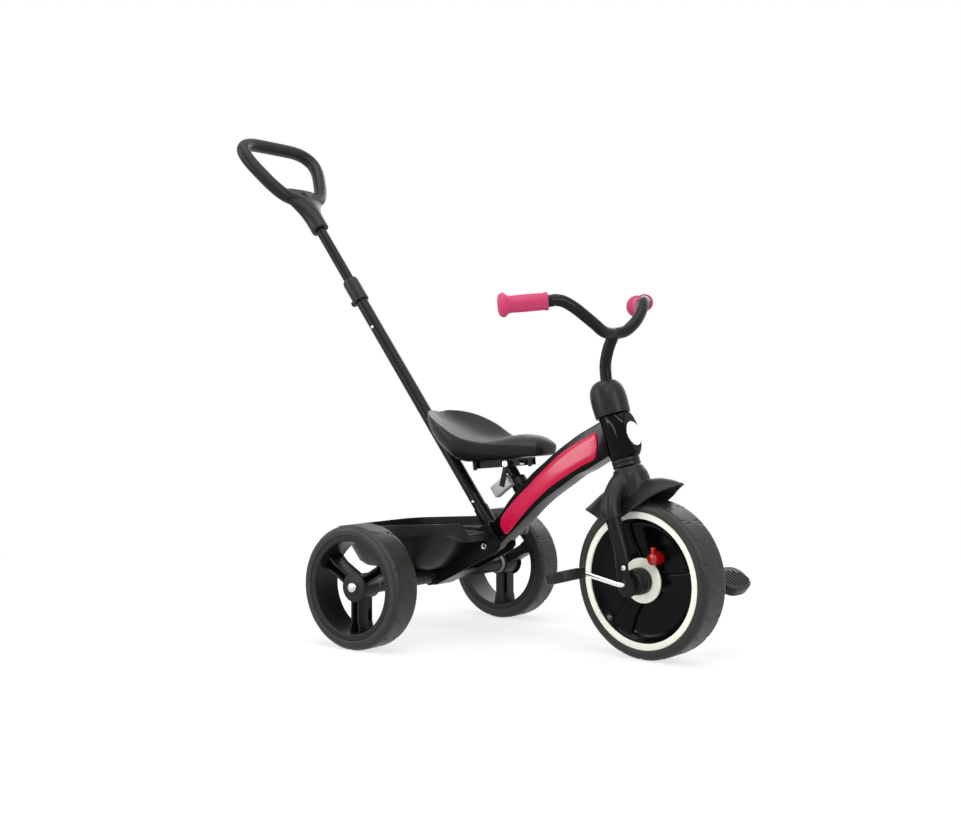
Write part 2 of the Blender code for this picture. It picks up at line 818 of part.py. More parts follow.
def rear_rim(name, hub):
    """An open rim with three channelled spokes and its hub."""
    half = REAR_TYRE_W / 2 - REAR_RIM_INSET
    inner = REAR_RIM_OPENING_R
    rim = turned(
        name,
        ((REAR_RIM_R, half), (REAR_RIM_R, -half), (inner, -half), (inner, half)),
        TYRE_STEPS,
    )
    bore = BUSH_R + GAP
    back = SPOKE_BACK - 0.006
    hub_tube = turned(
        name + "_hub",
        ((REAR_HUB_R, REAR_HUB_FACE), (REAR_HUB_R, back), (bore, back), (bore, REAR_HUB_FACE)),
    )
    root = (bore + REAR_HUB_R) / 2
    tip = REAR_RIM_OPENING_R + 0.002
    bars = radial_plates(
        name + "_spokes",
        spoke_outline(root, SPOKE_FLARE_R, tip, SPOKE_HALF_W, SPOKE_FLARE_W),
        SPOKE_BACK,
        REAR_HUB_FACE - GAP,
        SPOKE_ANGLES,
    )
    channel = SPOKE_HALF_W - SPOKE_WALL
    channels = radial_plates(
        name + "_channels",
        spoke_outline(
            REAR_HUB_R + 0.002,
            SPOKE_FLARE_R,
            REAR_RIM_OPENING_R - 0.001,
            channel,
            SPOKE_FLARE_W - SPOKE_WALL,
        ),
        SPOKE_CHANNEL_FLOOR,
        REAR_HUB_FACE + 0.01,
        SPOKE_ANGLES,
    )
    join(rim, hub_tube, bars)
    cut(rim, channels)
    seat_on(rim, hub, "matte_black")


def rear_hub_parts(side, hub):
    """Bush, dished cap and domed nut of one rear wheel; the nut belongs to the fixed axle."""
    bore = AXLE_R + GAP
    bush = turned(
        "rear_wheel_bush_" + side,
        (
            (BUSH_R, REAR_HUB_FACE),
            (BUSH_R, BUSH_INNER_END),
            (bore, BUSH_INNER_END),
            (bore, REAR_HUB_FACE),
        ),
    )
    seat_on(bush, hub, "grey_plastic")
    foot = REAR_HUB_FACE + GAP
    crown = foot + CAP_CROWN_H
    cap = turned(
        "rear_hub_cap_" + side,
        (
            (NUT_R + 0.001, crown),
            (CAP_R - 0.0012, foot + CAP_RIM_H + 0.0008),
            (CAP_R, foot + CAP_RIM_H),
            (CAP_R, foot),
            (bore, foot),
            (bore, crown - 0.0015),
            (NUT_R, crown - 0.0015),
        ),
        WHEEL_STEPS,
    )
    seat_on(cap, hub, "matte_black")


def rear_nut(side, frame, sign):
    """Domed nut on the end of the rear axle."""
    bore = AXLE_R + GAP
    socket = NUT_H - 0.0020
    nut = turned(
        "rear_axle_nut_" + side,
        (
            (0, NUT_H),
            (NUT_R * 0.6, NUT_H * 0.86),
            (NUT_R * 0.95, NUT_H * 0.45),
            (NUT_R, 0),
            (bore, 0),
            (bore, socket),
            (0, socket),
        ),
        ROUND_STEPS,
    )
    seat_on(nut, frame, "steel", (0, sign * nut_foot_y(), REAR_TYRE_R), outward(sign))


def nut_foot_y():
    """Distance of a nut's foot from the middle plane: on the face of the hub cap."""
    return REAR_WHEEL_Y + REAR_HUB_FACE + CAP_CROWN_H - 0.0015 + 2 * GAP


def outward(sign):
    """Turns local Z out to one side, with local Y up."""
    upright = Quaternion((1, 0, 0), math.radians(90))
    return upright if sign < 0 else Quaternion((0, 0, 1), math.pi) @ upright


def rear_wheels(frame):
    """Both rear wheels, which run free on one fixed axle."""
    for side, sign in (("right", -1), ("left", 1)):
        hub = frame_empty("rear_wheel_" + side, (0, sign * REAR_WHEEL_Y, REAR_TYRE_R), frame)
        hub.rotation_mode = "QUATERNION"
        hub.rotation_quaternion = outward(sign)
        rear_tyre("rear_tyre_" + side, hub)
        rear_rim("rear_rim_" + side, hub)
        rear_hub_parts(side, hub)
        rear_nut(side, frame, sign)
    reach = nut_foot_y() + NUT_H - 0.0020 - GAP
    axle = rod("rear_axle", AXLE_R, (0, -reach, REAR_TYRE_R), (0, reach, REAR_TYRE_R), SMALL_STEPS)
    ride(axle, frame, "steel")
    bore = AXLE_R + GAP
    half = HOUSING_HALF_L
    housing = turned(
        "axle_housing", ((HOUSING_R, half), (HOUSING_R, -half), (bore, -half), (bore, half))
    )
    seat_on(housing, frame, "matte_black", (0, 0, REAR_TYRE_R), outward(-1))


def flat(point):
    """The forward and up values of a point."""
    return (point.x, point.z)


def rear_bracket(frame):
    """Folded steel channel that saddles the axle housing and carries the fold pin and the bar's stub."""
    top_back = on_bar(FERRULE_END, out=-FERRULE_R)
    top_front = on_bar(FERRULE_END, out=FERRULE_R)
    saddle = [math.radians(angle) for angle in range(-60, -261, -40)]
    outline = [flat(top_back), flat(top_front), *BRACKET_FRONT, *BRACKET_UNDER]
    outline += [
        (SADDLE_R * math.cos(angle), REAR_TYRE_R + SADDLE_R * math.sin(angle)) for angle in saddle
    ]
    outline.append(BRACKET_TOP_REAR)
    bracket = plate("rear_bracket", (outline,), 2 * CHEEK_OUTER_Y)
    (knee_x, knee_z), (toe_x, toe_z) = BRACKET_UNDER
    foot_x, foot_z = BRACKET_FRONT[-1]
    slope = (foot_z - knee_z) / (foot_x - knee_x)
    floor_z = knee_z + slope * (FLOOR_END_X - knee_x) + SHEET * 1.15
    inside = [
        flat(on_bar(FERRULE_END - SHEET, out=-REACH)),
        flat(on_bar(FERRULE_END - SHEET, out=REACH)),
        (FOLD_X + REACH * 2, FOLD_Z - REACH),
        (FLOOR_END_X, floor_z - REACH),
        (FLOOR_END_X, floor_z),
        (knee_x - SHEET / 2, knee_z + SHEET),
        (toe_x - SHEET / 2, toe_z + SHEET),
        (-REACH, toe_z + SHEET),
        (-REACH, FOLD_Z),
    ]
    channel = plate("bracket_channel", (inside,), 2 * CHEEK_INNER_Y)
    stub = rod("bracket_stub", STUB_R, on_bar(FERRULE_END - SHEET / 2), on_bar(STUB_NECK))
    neck = rod("bracket_stub_neck", STUB_NECK_R, on_bar(STUB_NECK - SHEET), on_bar(STUB_TOP))
    cut(bracket, channel)
    join(bracket, stub, neck)
    housing_hole = rod(
        "bracket_housing_hole",
        HOUSING_R + GAP,
        (0, -REACH, REAR_TYRE_R),
        (0, REACH, REAR_TYRE_R),
    )
    cut(bracket, housing_hole, pin_hole("bracket_pin_hole"))
    ride(bracket, frame, "painted_steel")


def pin_hole(name):
    """The bore that the fold pin runs in."""
    side = ACROSS * REACH
    return rod(name, PIN_R + GAP, FOLD_PIN - side, FOLD_PIN + side, SMALL_STEPS)


def fold_pin(frame):
    """Hollow rivet on which the front half folds."""
    half = CHEEK_OUTER_Y + GAP
    tip = half + PIN_HEAD_T
    pin = turned(
        "fold_pin",
        (
            (PIN_HEAD_R, tip),
            (PIN_HEAD_R, half),
            (PIN_R, half),
            (PIN_R, -half),
            (PIN_HEAD_R, -half),
            (PIN_HEAD_R, -tip),
            (PIN_BORE_R, -tip),
            (PIN_BORE_R, tip),
        ),
        SMALL_STEPS,
    )
    seat_on(pin, frame, "steel", FOLD_PIN, outward(-1))


def rim_height(x):
    """Height of the basket's rim, which rises to the front."""
    return BASKET_RIM_Z + BASKET_RIM_SLOPE * x


def ledge_height(plan):
    """Height of the ledge under the rim band as a function of x: it drops at the plan's front."""
    front = plan[3] + plan[0]

    def at(x):
        share = min(1, max(0, 1 + (x - front) / BASKET_FRONT_DROP_RUN))
        return rim_height(x) - BASKET_BAND - BASKET_FRONT_DROP * share**2 * (3 - 2 * share)

    return at


def plan_ring(plan, inset, height):
    """A rounded rectangle in plan, drawn in by an inset, with its height a function of x."""
    half_length, half_width, corner, middle = plan
    ring = []
    steps = BASKET_CORNER_STEPS
    for quarter, (along, across) in enumerate(((1, 1), (-1, 1), (-1, -1), (1, -1))):
        for step in range(steps + 1):
            angle = math.radians(90 * (quarter + step / steps))
            x = middle + along * (half_length - corner) + (corner - inset) * math.cos(angle)
            y = across * (half_width - corner) + (corner - inset) * math.sin(angle)
            ring.append((x, y, height(x)))
    return ring


def basket_tub(name, inset, lift, rim_lift):
    """The tub's skin, drawn in and lifted for its inner side."""
    floor = REAR_TYRE_R + HOUSING_R + GAP

    def level(up):
        return lambda x: floor + lift + up

    def ledge(plan):
        at = ledge_height(plan)
        return lambda x: at(x + inset) + lift

    return loft(
        name,
        (
            plan_ring(BASKET_FLOOR_PLAN, inset, level(0)),
            plan_ring(BASKET_TURN_PLAN, inset, level(BASKET_TURN_UP)),
            plan_ring(BASKET_SIDE_PLAN, inset, level(BASKET_SIDE_UP)),
            plan_ring(BASKET_LEDGE_PLAN, inset, ledge(BASKET_LEDGE_PLAN)),
            plan_ring(BASKET_RIM_PLAN, inset, ledge(BASKET_RIM_PLAN)),
            plan_ring(BASKET_RIM_PLAN, inset, lambda x: rim_height(x) + rim_lift),
        ),
    )


def span(name, low, high):
    """A box between its lowest and highest corners."""
    low, high = Vector(low), Vector(high)
    return block(name, high - low, Matrix.Translation((low + high) / 2))


def basket(frame):
    """Moulded tub with a deep rim band, slotted in front for the bracket."""
    wall = BASKET_WALL
    slot = BASKET_SLOT_HALF_W
    back = BASKET_SLOT_BACK
    tub = basket_tub("basket", 0, 0, 0)
    hollow = basket_tub("basket_hollow", wall, wall, REACH)
    keep = span(
        "basket_slot_walls",
        (back - wall, -slot - wall, -REACH),
        (back + 6 * REACH, slot + wall, 8 * REACH),
    )
    cut(hollow, keep)
    slot_cut = span("basket_slot", (back, -slot, -REACH), (back + 6 * REACH, slot, 8 * REACH))
    low = BASKET_FRONT_DIP_Z
    outline = [(-across, low + up) for across, up in BASKET_DIP_SIDE]
    outline += [(across, low + up) for across, up in reversed(BASKET_DIP_SIDE)]
    start = BASKET_FRONT_DIP_X
    front = Vector((start + REACH, 0, 0))
    dip_cut = plate("basket_front_dip", (outline,), 2 * REACH, axes(front, ACROSS, Vector((0, 0, 1))))
    slot_top = span(
        "basket_slot_top",
        (back - 3 * wall, -slot - 2 * wall, low),
        (start + REACH / 2, slot + 2 * wall, low + REACH),
    )
    cut(tub, hollow, slot_cut, dip_cut, slot_top)
    ride(tub, frame, "matte_black")


def push_bar_low(frame):
    """Lower steel tube of the push bar, with its ferrule and two pin holes."""
    bore = BAR_BORE_R
    bar = turned(
        "push_bar_lower",
        (
            (BAR_LOW_R, BAR_LOW_TOP),
            (BAR_LOW_R, FERRULE_TOP),
            (FERRULE_R, FERRULE_TOP - 0.0015),
            (FERRULE_R, FERRULE_END + GAP),
            (bore, FERRULE_END + GAP),
            (bore, BAR_LOW_TOP),
        ),
    )
    holes = [
        rod(
            "pin_hole_" + str(index),
            BUTTON_R + GAP,
            (0, 0, station),
            (0, -REACH, station),
            SMALL_STEPS,
        )
        for index, station in enumerate((RELEASE_STATION, LENGTH_STATION))
    ]
    cut(bar, *holes)
    on_push_bar(bar, frame, "painted_steel", 0)


def spring_pin(name, frame, station):
    """A small sprung pin in a hole of the lower tube, on its right side."""
    outer = BAR_LOW_R + BUTTON_PROUD
    pivot = frame_empty(name + "_axis", on_bar(station), frame)
    pin = rod(
        name,
        BUTTON_R,
        on_bar(station, across=-BUTTON_INNER),
        on_bar(station, across=-outer),
        SMALL_STEPS,
        BUTTON_R * 0.8,
    )
    ride(pin, pivot, "steel")


def bar_collar(frame):
    """Plastic sleeve at the top of the lower tube, with a boss for its lock button."""
    inner = BAR_LOW_R + GAP
    step = BAR_LOW_TOP + GAP - COLLAR_FOOT
    tall = COLLAR_TOP - COLLAR_FOOT
    sleeve = turned(
        "push_bar_collar",
        (
            (COLLAR_R - 0.0025, tall),
            (COLLAR_R, tall - 0.005),
            (COLLAR_R, 0),
            (inner, 0),
            (inner, step),
            (BAR_BORE_R, step),
            (BAR_BORE_R, tall),
        ),
    )
    up = BOSS_STATION - COLLAR_FOOT
    boss = rod(
        "collar_boss", BOSS_R, (-inner - 0.0015, 0, up), (-BOSS_END, 0, up), SMALL_STEPS
    )
    pocket = rod(
        "collar_pocket",
        COLLAR_BUTTON_R + GAP,
        (-COLLAR_R + 0.0005, 0, up),
        (-BOSS_END - 0.01, 0, up),
        SMALL_STEPS,
    )
    join(sleeve, boss)
    cut(sleeve, pocket)
    on_push_bar(sleeve, frame, "matte_black", COLLAR_FOOT)
    pivot = frame_empty("collar_button_axis", on_bar(BOSS_STATION), frame)
    button = rod(
        "collar_button",
        COLLAR_BUTTON_R,
        on_bar(BOSS_STATION, out=-COLLAR_R - 0.0018),
        on_bar(BOSS_STATION, out=-BOSS_END - 0.0020),
        SMALL_STEPS,
        COLLAR_BUTTON_R * 0.85,
    )
    ride(button, pivot, "matte_black")


def push_bar_up(frame):
    """Upper tube, which slides in the lower one, with a keyway for the length pin."""
    top = NECK_FOOT + NECK_SOCKET_DEPTH - GAP
    bore = BAR_UP_BORE_R
    bar = turned(
        "push_bar_upper",
        ((BAR_UP_R, top), (BAR_UP_R, BAR_UP_FOOT), (bore, BAR_UP_FOOT), (bore, top)),
    )
    width = BUTTON_R + GAP
    start, end = KEYWAY
    cut(bar, span("bar_keyway", (-width, -REACH, start), (width, -bore / 2, end)))
    on_push_bar(bar, frame, "painted_steel", 0)


def push_handle(frame):
    """Loop handle across the bar, with a webbed neck and a thumb button."""
    half = [on_bar(station, across) for across, station in HANDLE_LOOP]
    other = [on_bar(station, -across) for across, station in reversed(HANDLE_LOOP[1:-1])]
    handle = as_mesh(tube("push_handle", half + other, HANDLE_R, 10, cyclic=True))
    rings = [
        ellipse(on_bar(NECK_FOOT + up), ACROSS * wide, BAR_NORMAL * deep, 16)
        for up, wide, deep in NECK_SECTIONS
    ]
    neck = loft("handle_neck", rings)
    socket = rod(
        "handle_socket",
        BAR_UP_R + GAP,
        on_bar(NECK_FOOT - 0.01),
        on_bar(NECK_FOOT + NECK_SOCKET_DEPTH),
    )
    pocket = rod(
        "handle_pocket",
        THUMB_R + GAP,
        on_bar(THUMB_STATION, out=THUMB_SEAT - 0.002),
        on_bar(THUMB_STATION, out=REACH),
    )
    join(handle, neck)
    cut(handle, socket, pocket)
    ride(handle, frame, "matte_black")
    pivot = frame_empty("handle_button_axis", on_bar(THUMB_STATION), frame)
    button = rod(
        "handle_button",
        THUMB_R,
        on_bar(THUMB_STATION, out=THUMB_SEAT),
        on_bar(THUMB_STATION, out=THUMB_PROUD),
        ROUND_STEPS,
        THUMB_R * 0.85,
    )
    ride(button, pivot, "matte_black")


def main_beam(frame):
    """Moulded beam from the fold pin up to the head tube."""
    tail = [math.radians(angle) for angle in range(105, 271, 27)]
    outline = list(BEAM_UPPER)
    outline += [
        (FOLD_X + BEAM_TAIL_R * math.cos(angle), FOLD_Z + BEAM_TAIL_R * math.sin(angle))
        for angle in tail
    ]
    outline += BEAM_LOWER
    beam = plate("main_beam", (outline,), 2 * BEAM_HALF_W)
    round_edges(beam, BEAM_EDGE, 3)
    head_space = rod(
        "beam_head_space",
        HEAD_TOP_R + GAP,
        on_axis(HEAD_FOOT - REACH / 2),
        on_axis(HEAD_TOP + REACH / 2),
        WHEEL_STEPS,
    )
    socket = rod(
        "beam_post_socket", POST_R + GAP, on_post(-POST_SOCKET_DEPTH), on_post(REACH / 2)
    )
    join(beam, rod("beam_post_boss", POST_BOSS_R, on_post(-POST_SOCKET_DEPTH / 2), on_post(0)))
    cut(beam, head_space, socket, pin_hole("beam_pin_hole"))
    ride(beam, frame, "gloss_black")


def beam_panels(frame):
    """Coloured side panels let into the beam."""
    outline = [*PANEL_UPPER, PANEL_TAIL, *PANEL_LOWER]
    for side, sign in (("right", -1), ("left", 1)):
        middle = Vector((0, sign * (BEAM_HALF_W + GAP + PANEL_T / 2), 0))
        panel = plate("beam_panel_" + side, (outline,), PANEL_T, Matrix.Translation(middle) @ SIDE_PLANE)
        round_edges(panel, PANEL_EDGE, 1)
        ride(panel, frame, "crimson")


def head_ring(up):
    """One cross-section of the head tube, which swells in front and is cut flat for the badge."""
    tall = HEAD_TOP - HEAD_FOOT
    radius = HEAD_FOOT_R + (HEAD_TOP_R - HEAD_FOOT_R) * up / tall
    away = (up - tall / 2) / (BOSS_FADE * tall / 2)
    swell = BOSS_SWELL * (1 - away**2)
    ring = []
    for step in range(WHEEL_STEPS):
        turn = 2 * math.pi * step / WHEEL_STEPS
        reach = radius + swell * max(0, math.cos(turn)) ** 1.5
        ring.append((min(BOSS_FACE, reach * math.cos(turn)), reach * math.sin(turn), up))
    return ring


def head_tube(frame):
    """Head tube with an oval swelling in front that carries the round badge."""
    tall = HEAD_TOP - HEAD_FOOT
    head = loft("head_tube", [head_ring(tall * step / HEAD_RINGS) for step in range(HEAD_RINGS + 1)])
    cut(head, rod("head_bore", HEAD_BORE_R, (0, 0, -REACH), (0, 0, tall + REACH)))
    on_steer_axis(head, frame, "gloss_black", HEAD_FOOT)
    badge = rod(
        "badge",
        BADGE_R,
        on_axis(BOSS_CENTRE, BOSS_FACE + GAP),
        on_axis(BOSS_CENTRE, BOSS_FACE + GAP + BADGE_T),
        WHEEL_STEPS,
    )
    ride(badge, frame, "white")


def lower_bearing(frame):
    """Bearing ring between the fork crown and the head tube, with a groove round it."""
    tall = HEAD_FOOT - GAP - BEARING_FOOT
    bore = STEERER_R + GAP
    ring = turned(
        "lower_bearing",
        (
            (BEARING_R, tall),
            (BEARING_R, tall * 0.58),
            (BEARING_R - 0.001, tall * 0.5),
            (BEARING_R, tall * 0.42),
            (BEARING_R, 0),
            (bore, 0),
            (bore, tall),
        ),
    )
    on_steer_axis(ring, frame, "matte_black", BEARING_FOOT)


def seat_clamp(frame):
    """Collar round the seat post, on top of the beam."""
    start = GAP
    bore = POST_R + GAP
    collar = turned(
        "seat_clamp_collar",
        ((CLAMP_R, CLAMP_TOP), (CLAMP_R, start), (bore, start), (bore, CLAMP_TOP)),
    )
    lean = Quaternion(ACROSS, -BAR_LEAN)
    seat_on(collar, frame, "matte_black", POST_FOOT - Vector(frame["point"]), lean)


def seat_ring(x, half, rim, dish, under, under_half):
    """One cross-section of the saddle, round from its right rim."""
    top = []
    for share in (-1, -0.86, -0.55, 0, 0.55, 0.86, 1):
        z = dish + (rim - dish) * min(1, abs(share) / 0.93) ** 2
        top.append((x, half * share, z - (0.0035 if abs(share) == 1 else 0)))
    low = rim - (rim - under) * 0.45
    sides = [(x, half * 0.97, low), (x, under_half, under), (x, 0, under)]
    return top + sides + [(x, -under_half, under), (x, -half * 0.97, low)]


def saddle(frame):
    """Scooped plastic saddle."""
    rings = [seat_ring(*station) for station in SEAT_STATIONS]
    ride(loft("seat", rings), frame, "matte_black")


def underside():
    """The line of the saddle's underside over the plate: a point on it, its direction and its normal."""
    ends = [(x, under) for x, _, _, _, under, _ in SEAT_STATIONS if PLATE_BACK_X - 0.01 < x < 0.19]
    start, end = Vector((ends[0][0], 0, ends[0][1])), Vector((ends[-1][0], 0, ends[-1][1]))
    along = (end - start).normalized()
    return start, along, ACROSS.cross(along) * -1


def seat_fixings(frame):
    """Railed plate, post, studs and cross-bolt under the saddle."""
    start, along, up = underside()
    slope = along.z / along.x

    def under(x, y, drop):
        return Vector((x, y, start.z + slope * (x - start.x))) - up * drop

    half = PLATE_HALF_W
    rail = PLATE_RAIL_H
    wall = PLATE_T
    section = (
        (-half, 0),
        (half, 0),
        (half, -rail),
        (half - wall, -rail),
        (half - wall, -wall),
        (wall - half, -wall),
        (wall - half, -rail),
        (-half, -rail),
    )
    middle = under((PLATE_BACK_X + PLATE_FRONT_X) / 2, 0, 2 * GAP)
    length = PLATE_FRONT_X - PLATE_BACK_X
    base = plate("seat_plate", (section,), length, axes(middle, ACROSS, up))
    bolt_at = under(BOLT_X, 0, BOLT_DROP)
    side = ACROSS * REACH
    cut(base, rod("plate_bolt_hole", BOLT_R + GAP, bolt_at - side, bolt_at + side, SMALL_STEPS))
    ride(base, frame, "painted_steel")
    below = under(BOLT_X, 0, PLATE_T + 3 * GAP)
    post_top = (below - on_post(0, POST_R)).dot(up) / BAR_UP.dot(up)
    post = rod("seat_post", POST_R, on_post(-POST_DEPTH), on_post(post_top))
    ride(post, frame, "painted_steel")
    for name, x in (("seat_stud_rear", STUD_REAR_X), ("seat_stud_front", STUD_FRONT_X)):
        top = under(x, -STUD_Y, 3 * GAP)
        stud = rod(name, STUD_R, top, top - up * STUD_L, SMALL_STEPS, STUD_R * 0.8)
        ride(stud, frame, "matte_black")
    head = BOLT_HALF_L + BOLT_HEAD_H
    bolt = turned(
        "seat_bolt",
        (
            (0, head),
            (BOLT_HEAD_R, head),
            (BOLT_HEAD_R, BOLT_HALF_L),
            (BOLT_R, BOLT_HALF_L),
            (BOLT_R, -BOLT_HALF_L),
            (0, -BOLT_HALF_L),
        ),
        SMALL_STEPS,
    )
    seat_on(bolt, frame, "steel", bolt_at - Vector(frame["point"]), outward(-1))
    return bolt_at


def seat_latch(frame, bolt_at):
    """Quick-release lever that hangs from the cross-bolt beside the clamp collar."""
    pivot = frame_empty("seat_latch_axis", bolt_at, frame)
    centre_y = -(LATCH_INNER_Y + LATCH_OUTER_Y) / 2
    centre = Vector((LATCH_X, centre_y, LATCH_Z))
    latch = block(
        "seat_latch",
        (LATCH_LONG, LATCH_TALL, LATCH_OUTER_Y - LATCH_INNER_Y),
        axes(centre, BAR_NORMAL, BAR_UP),
    )
    round_edges(latch, 0.0020, 2)
    strap_y = -(LATCH_OUTER_Y + GAP + STRAP_T / 2 - 0.0008)
    top = bolt_at + Vector((0, strap_y, 0))
    foot = Vector((LATCH_X + LATCH_LONG * 0.1, strap_y, LATCH_Z))
    run = foot - top
    down = run.normalized()
    beside = ACROSS.cross(down)
    head = [
        (STRAP_W * 0.5 * math.cos(angle), STRAP_W * 0.5 * math.sin(angle))
        for angle in np.radians((90, 126, 162, 198, 234, 270))
    ]
    outline = [*head, (run.length, -STRAP_W / 2), (run.length, STRAP_W / 2)]
    strap = plate("latch_strap", (outline,), STRAP_T, axes(top, down, beside))
    join(latch, strap)
    side = ACROSS * REACH
    cut(latch, rod("latch_bolt_hole", BOLT_R + GAP, bolt_at - side, bolt_at + side, SMALL_STEPS))
    ride(latch, pivot, "silver_plastic")


def from_hub(forward, across, up):
    """A point given from the front hub."""
    return HUB + Vector((forward, across, up))


def leg_point(up, across):
    """Point of a leg's line at a height over the hub."""
    return on_axis(up / STEER_AXIS.z, -LEG_BEHIND) + ACROSS * across


def fender_ring(forward, ridge, half, edge):
    """One bowed cross-section of the fender's shell, over and back under."""
    over = []
    under = []
    for index in range(FENDER_POINTS):
        share = 2 * index / (FENDER_POINTS - 1) - 1
        up = ridge - (ridge - edge) * abs(share) ** FENDER_BOW
        over.append(from_hub(forward, half * share, up))
        inner = max(0.2, 1 - FENDER_T / half)
        under.append(from_hub(forward, half * share * inner, up - FENDER_T))
    return over + under[::-1]


def shoulder_route(sign):
    """Route and widths of one side of the crown, from its middle out and down a leg."""
    route = [from_axis_up(up, sign * across) for across, up, _ in SHOULDER]
    widths = [width for _, _, width in SHOULDER]
    for up, width in (SHROUD_KNEE, (SHROUD_FOOT, 1.0)):
        route.append(leg_point(up, sign * LEG_Y))
        widths.append(width)
    return route, widths


def from_axis_up(up, across):
    """A point over the hub, between the steering axis and the legs' line by its distance across."""
    share = min(1, abs(across) / LEG_Y)
    station = up / STEER_AXIS.z
    return on_axis(station, -LEG_BEHIND * share) + ACROSS * across


def fork_crown(frame):
    """Moulded crown: collar, fender with a beak at each end, and a shroud over each leg."""
    crown = loft("fork_crown", [fender_ring(*station) for station in FENDER_STATIONS])
    rings = [
        ellipse(on_axis(station), STEER_FORWARD * radius, ACROSS * radius, 24)
        for station, radius in COLLAR_CONE
    ]
    join(crown, loft("crown_collar", rings))
    for side, sign in (("right", -1), ("left", 1)):
        route, widths = shoulder_route(sign)
        shoulder = tube("crown_shoulder_" + side, route, SHROUD_R, 12, widths)
        join(crown, as_mesh(shoulder))
    for side, sign in (("right", -1), ("left", 1)):
        low = leg_point(SHROUD_FOOT - REACH / 2, sign * LEG_Y)
        high = leg_point(LEG_TOP + LEG_R / 2, sign * LEG_Y)
        cut(crown, rod("crown_leg_bore_" + side, LEG_R + GAP, low, high))
    socket = rod(
        "crown_steerer_bore", STEERER_R + GAP, on_axis(STEERER_FOOT - GAP), on_axis(HEAD_FOOT)
    )
    half = FRONT_TYRE_W / 2 + TYRE_ROOM
    arch = turned(
        "crown_tyre_room",
        (
            (0, half),
            (FRONT_TYRE_R - TYRE_SHOULDER + TYRE_ROOM, half),
            (FRONT_TYRE_R + TYRE_ROOM, half - TYRE_SHOULDER),
            (FRONT_TYRE_R + TYRE_ROOM, TYRE_SHOULDER - half),
            (FRONT_TYRE_R - TYRE_SHOULDER + TYRE_ROOM, -half),
            (0, -half),
        ),
        TYRE_STEPS,
    )
    arch.location = HUB
    arch.rotation_mode = "QUATERNION"
    arch.rotation_quaternion = outward(-1)
    cut(crown, socket, arch)
    ride(crown, frame, "matte_black")


def fork_legs(frame):
    """Steel legs, each flattened to a dropout with an eye at the hub, and their screws."""
    for side, sign in (("right", -1), ("left", 1)):
        rings = [leg_ring(LEG_TOP, LEG_R, LEG_R, 0, sign)]
        rings += [leg_ring(*section, sign) for section in LEG_SECTIONS]
        leg = loft("fork_leg_" + side, rings)
        out = ACROSS * sign
        eye = rod(
            "leg_eye_" + side,
            CRANK_BUSH_R + GAP,
            HUB + out * LEG_Y / 2,
            HUB + out * LEG_Y * 2,
            SMALL_STEPS,
        )
        cut(leg, eye)
        ride(leg, frame, "painted_steel")
        face = DROPOUT_Y + DROPOUT_HALF_T + GAP
        place = leg_point(SCREW_UP, 0) + Vector((leg_shift(SCREW_UP) + SCREW_FORWARD, 0, 0))
        screw = rod(
            "dropout_screw_" + side,
            SCREW_R,
            place + out * face,
            place + out * (face + SCREW_T),
            SMALL_STEPS,
            SCREW_R * 0.75,
        )
        ride(screw, frame, "steel")


def leg_shift(up):
    """How far a dropout is drawn back from the leg's line, so that its eye meets the hub."""
    fade = min(1, max(0, 1 - up / LEG_SECTIONS[0][0]))
    return (WHEELBASE - leg_point(0, 0).x) * fade


def leg_ring(up, half_forward, half_across, flat_share, sign):
    """One section of a leg, at a height over the hub."""
    across = LEG_Y + (DROPOUT_Y - LEG_Y) * flat_share
    centre = leg_point(up, sign * across) + Vector((leg_shift(up), 0, 0))
    return ellipse(centre, Vector((half_forward, 0, 0)), ACROSS * half_across, 12)


def steerer(frame):
    """Steel steerer tube, from the crown up into the head cap."""
    tall = STEERER_TOP - STEERER_FOOT
    bore = TUBE_R + GAP
    pipe = turned("steerer", ((STEERER_R, tall), (STEERER_R, 0), (bore, 0), (bore, tall)))
    on_steer_axis(pipe, frame, "painted_steel", STEERER_FOOT)


def stem_route():
    """The stem's smooth route, out of the steerer and forward to the bar."""
    start = [on_axis(station) for station in (STEM_FOOT, STEM_FOOT + 0.018, STEERER_TOP + 0.001)]
    return smooth_route(start + [Vector((x, 0, z)) for x, z in STEM_BENDS] + [Vector(BAR_HALF[0])], 2)


def handlebar(frame):
    """Bent bar on its stem, welded as one."""
    inner, outer = Vector(GRIP_INNER), Vector(GRIP_OUTER)
    along = (outer - inner).normalized()
    half = smooth_route([*BAR_HALF, inner - along * GRIP_LEAD], 2)
    half.append(inner + along * (GRIP_SOCKET - GAP))
    other = [Vector((point.x, -point.y, point.z)) for point in half[1:]]
    bar = as_mesh(tube("handlebar", other[::-1] + half, TUBE_R))
    join(bar, as_mesh(tube("bar_stem", stem_route(), TUBE_R)))
    ride(bar, frame, "painted_steel")


def head_cap(frame):
    """Domed plastic cover over the top of the head tube and the foot of the stem."""
    outline = [(radius, up) for up, radius in HEAD_CAP_OUTLINE]
    cap = turned("head_cap", (*outline, (0, 0)), WHEEL_STEPS)
    cavity = rod(
        "cap_cavity",
        STEERER_R + GAP,
        (0, 0, -REACH / 2),
        (0, 0, STEERER_TOP + 2 * GAP - HEAD_CAP_FOOT),
    )
    passage = as_mesh(tube("cap_passage", stem_route(), TUBE_R + 2 * GAP, 12))
    tilt = Matrix.Rotation(-STEER_TILT, 4, "Y")
    passage.data.transform((Matrix.Translation(on_axis(HEAD_CAP_FOOT)) @ tilt).inverted())
    cut(cap, cavity, passage)
    on_steer_axis(cap, frame, "matte_black", HEAD_CAP_FOOT)


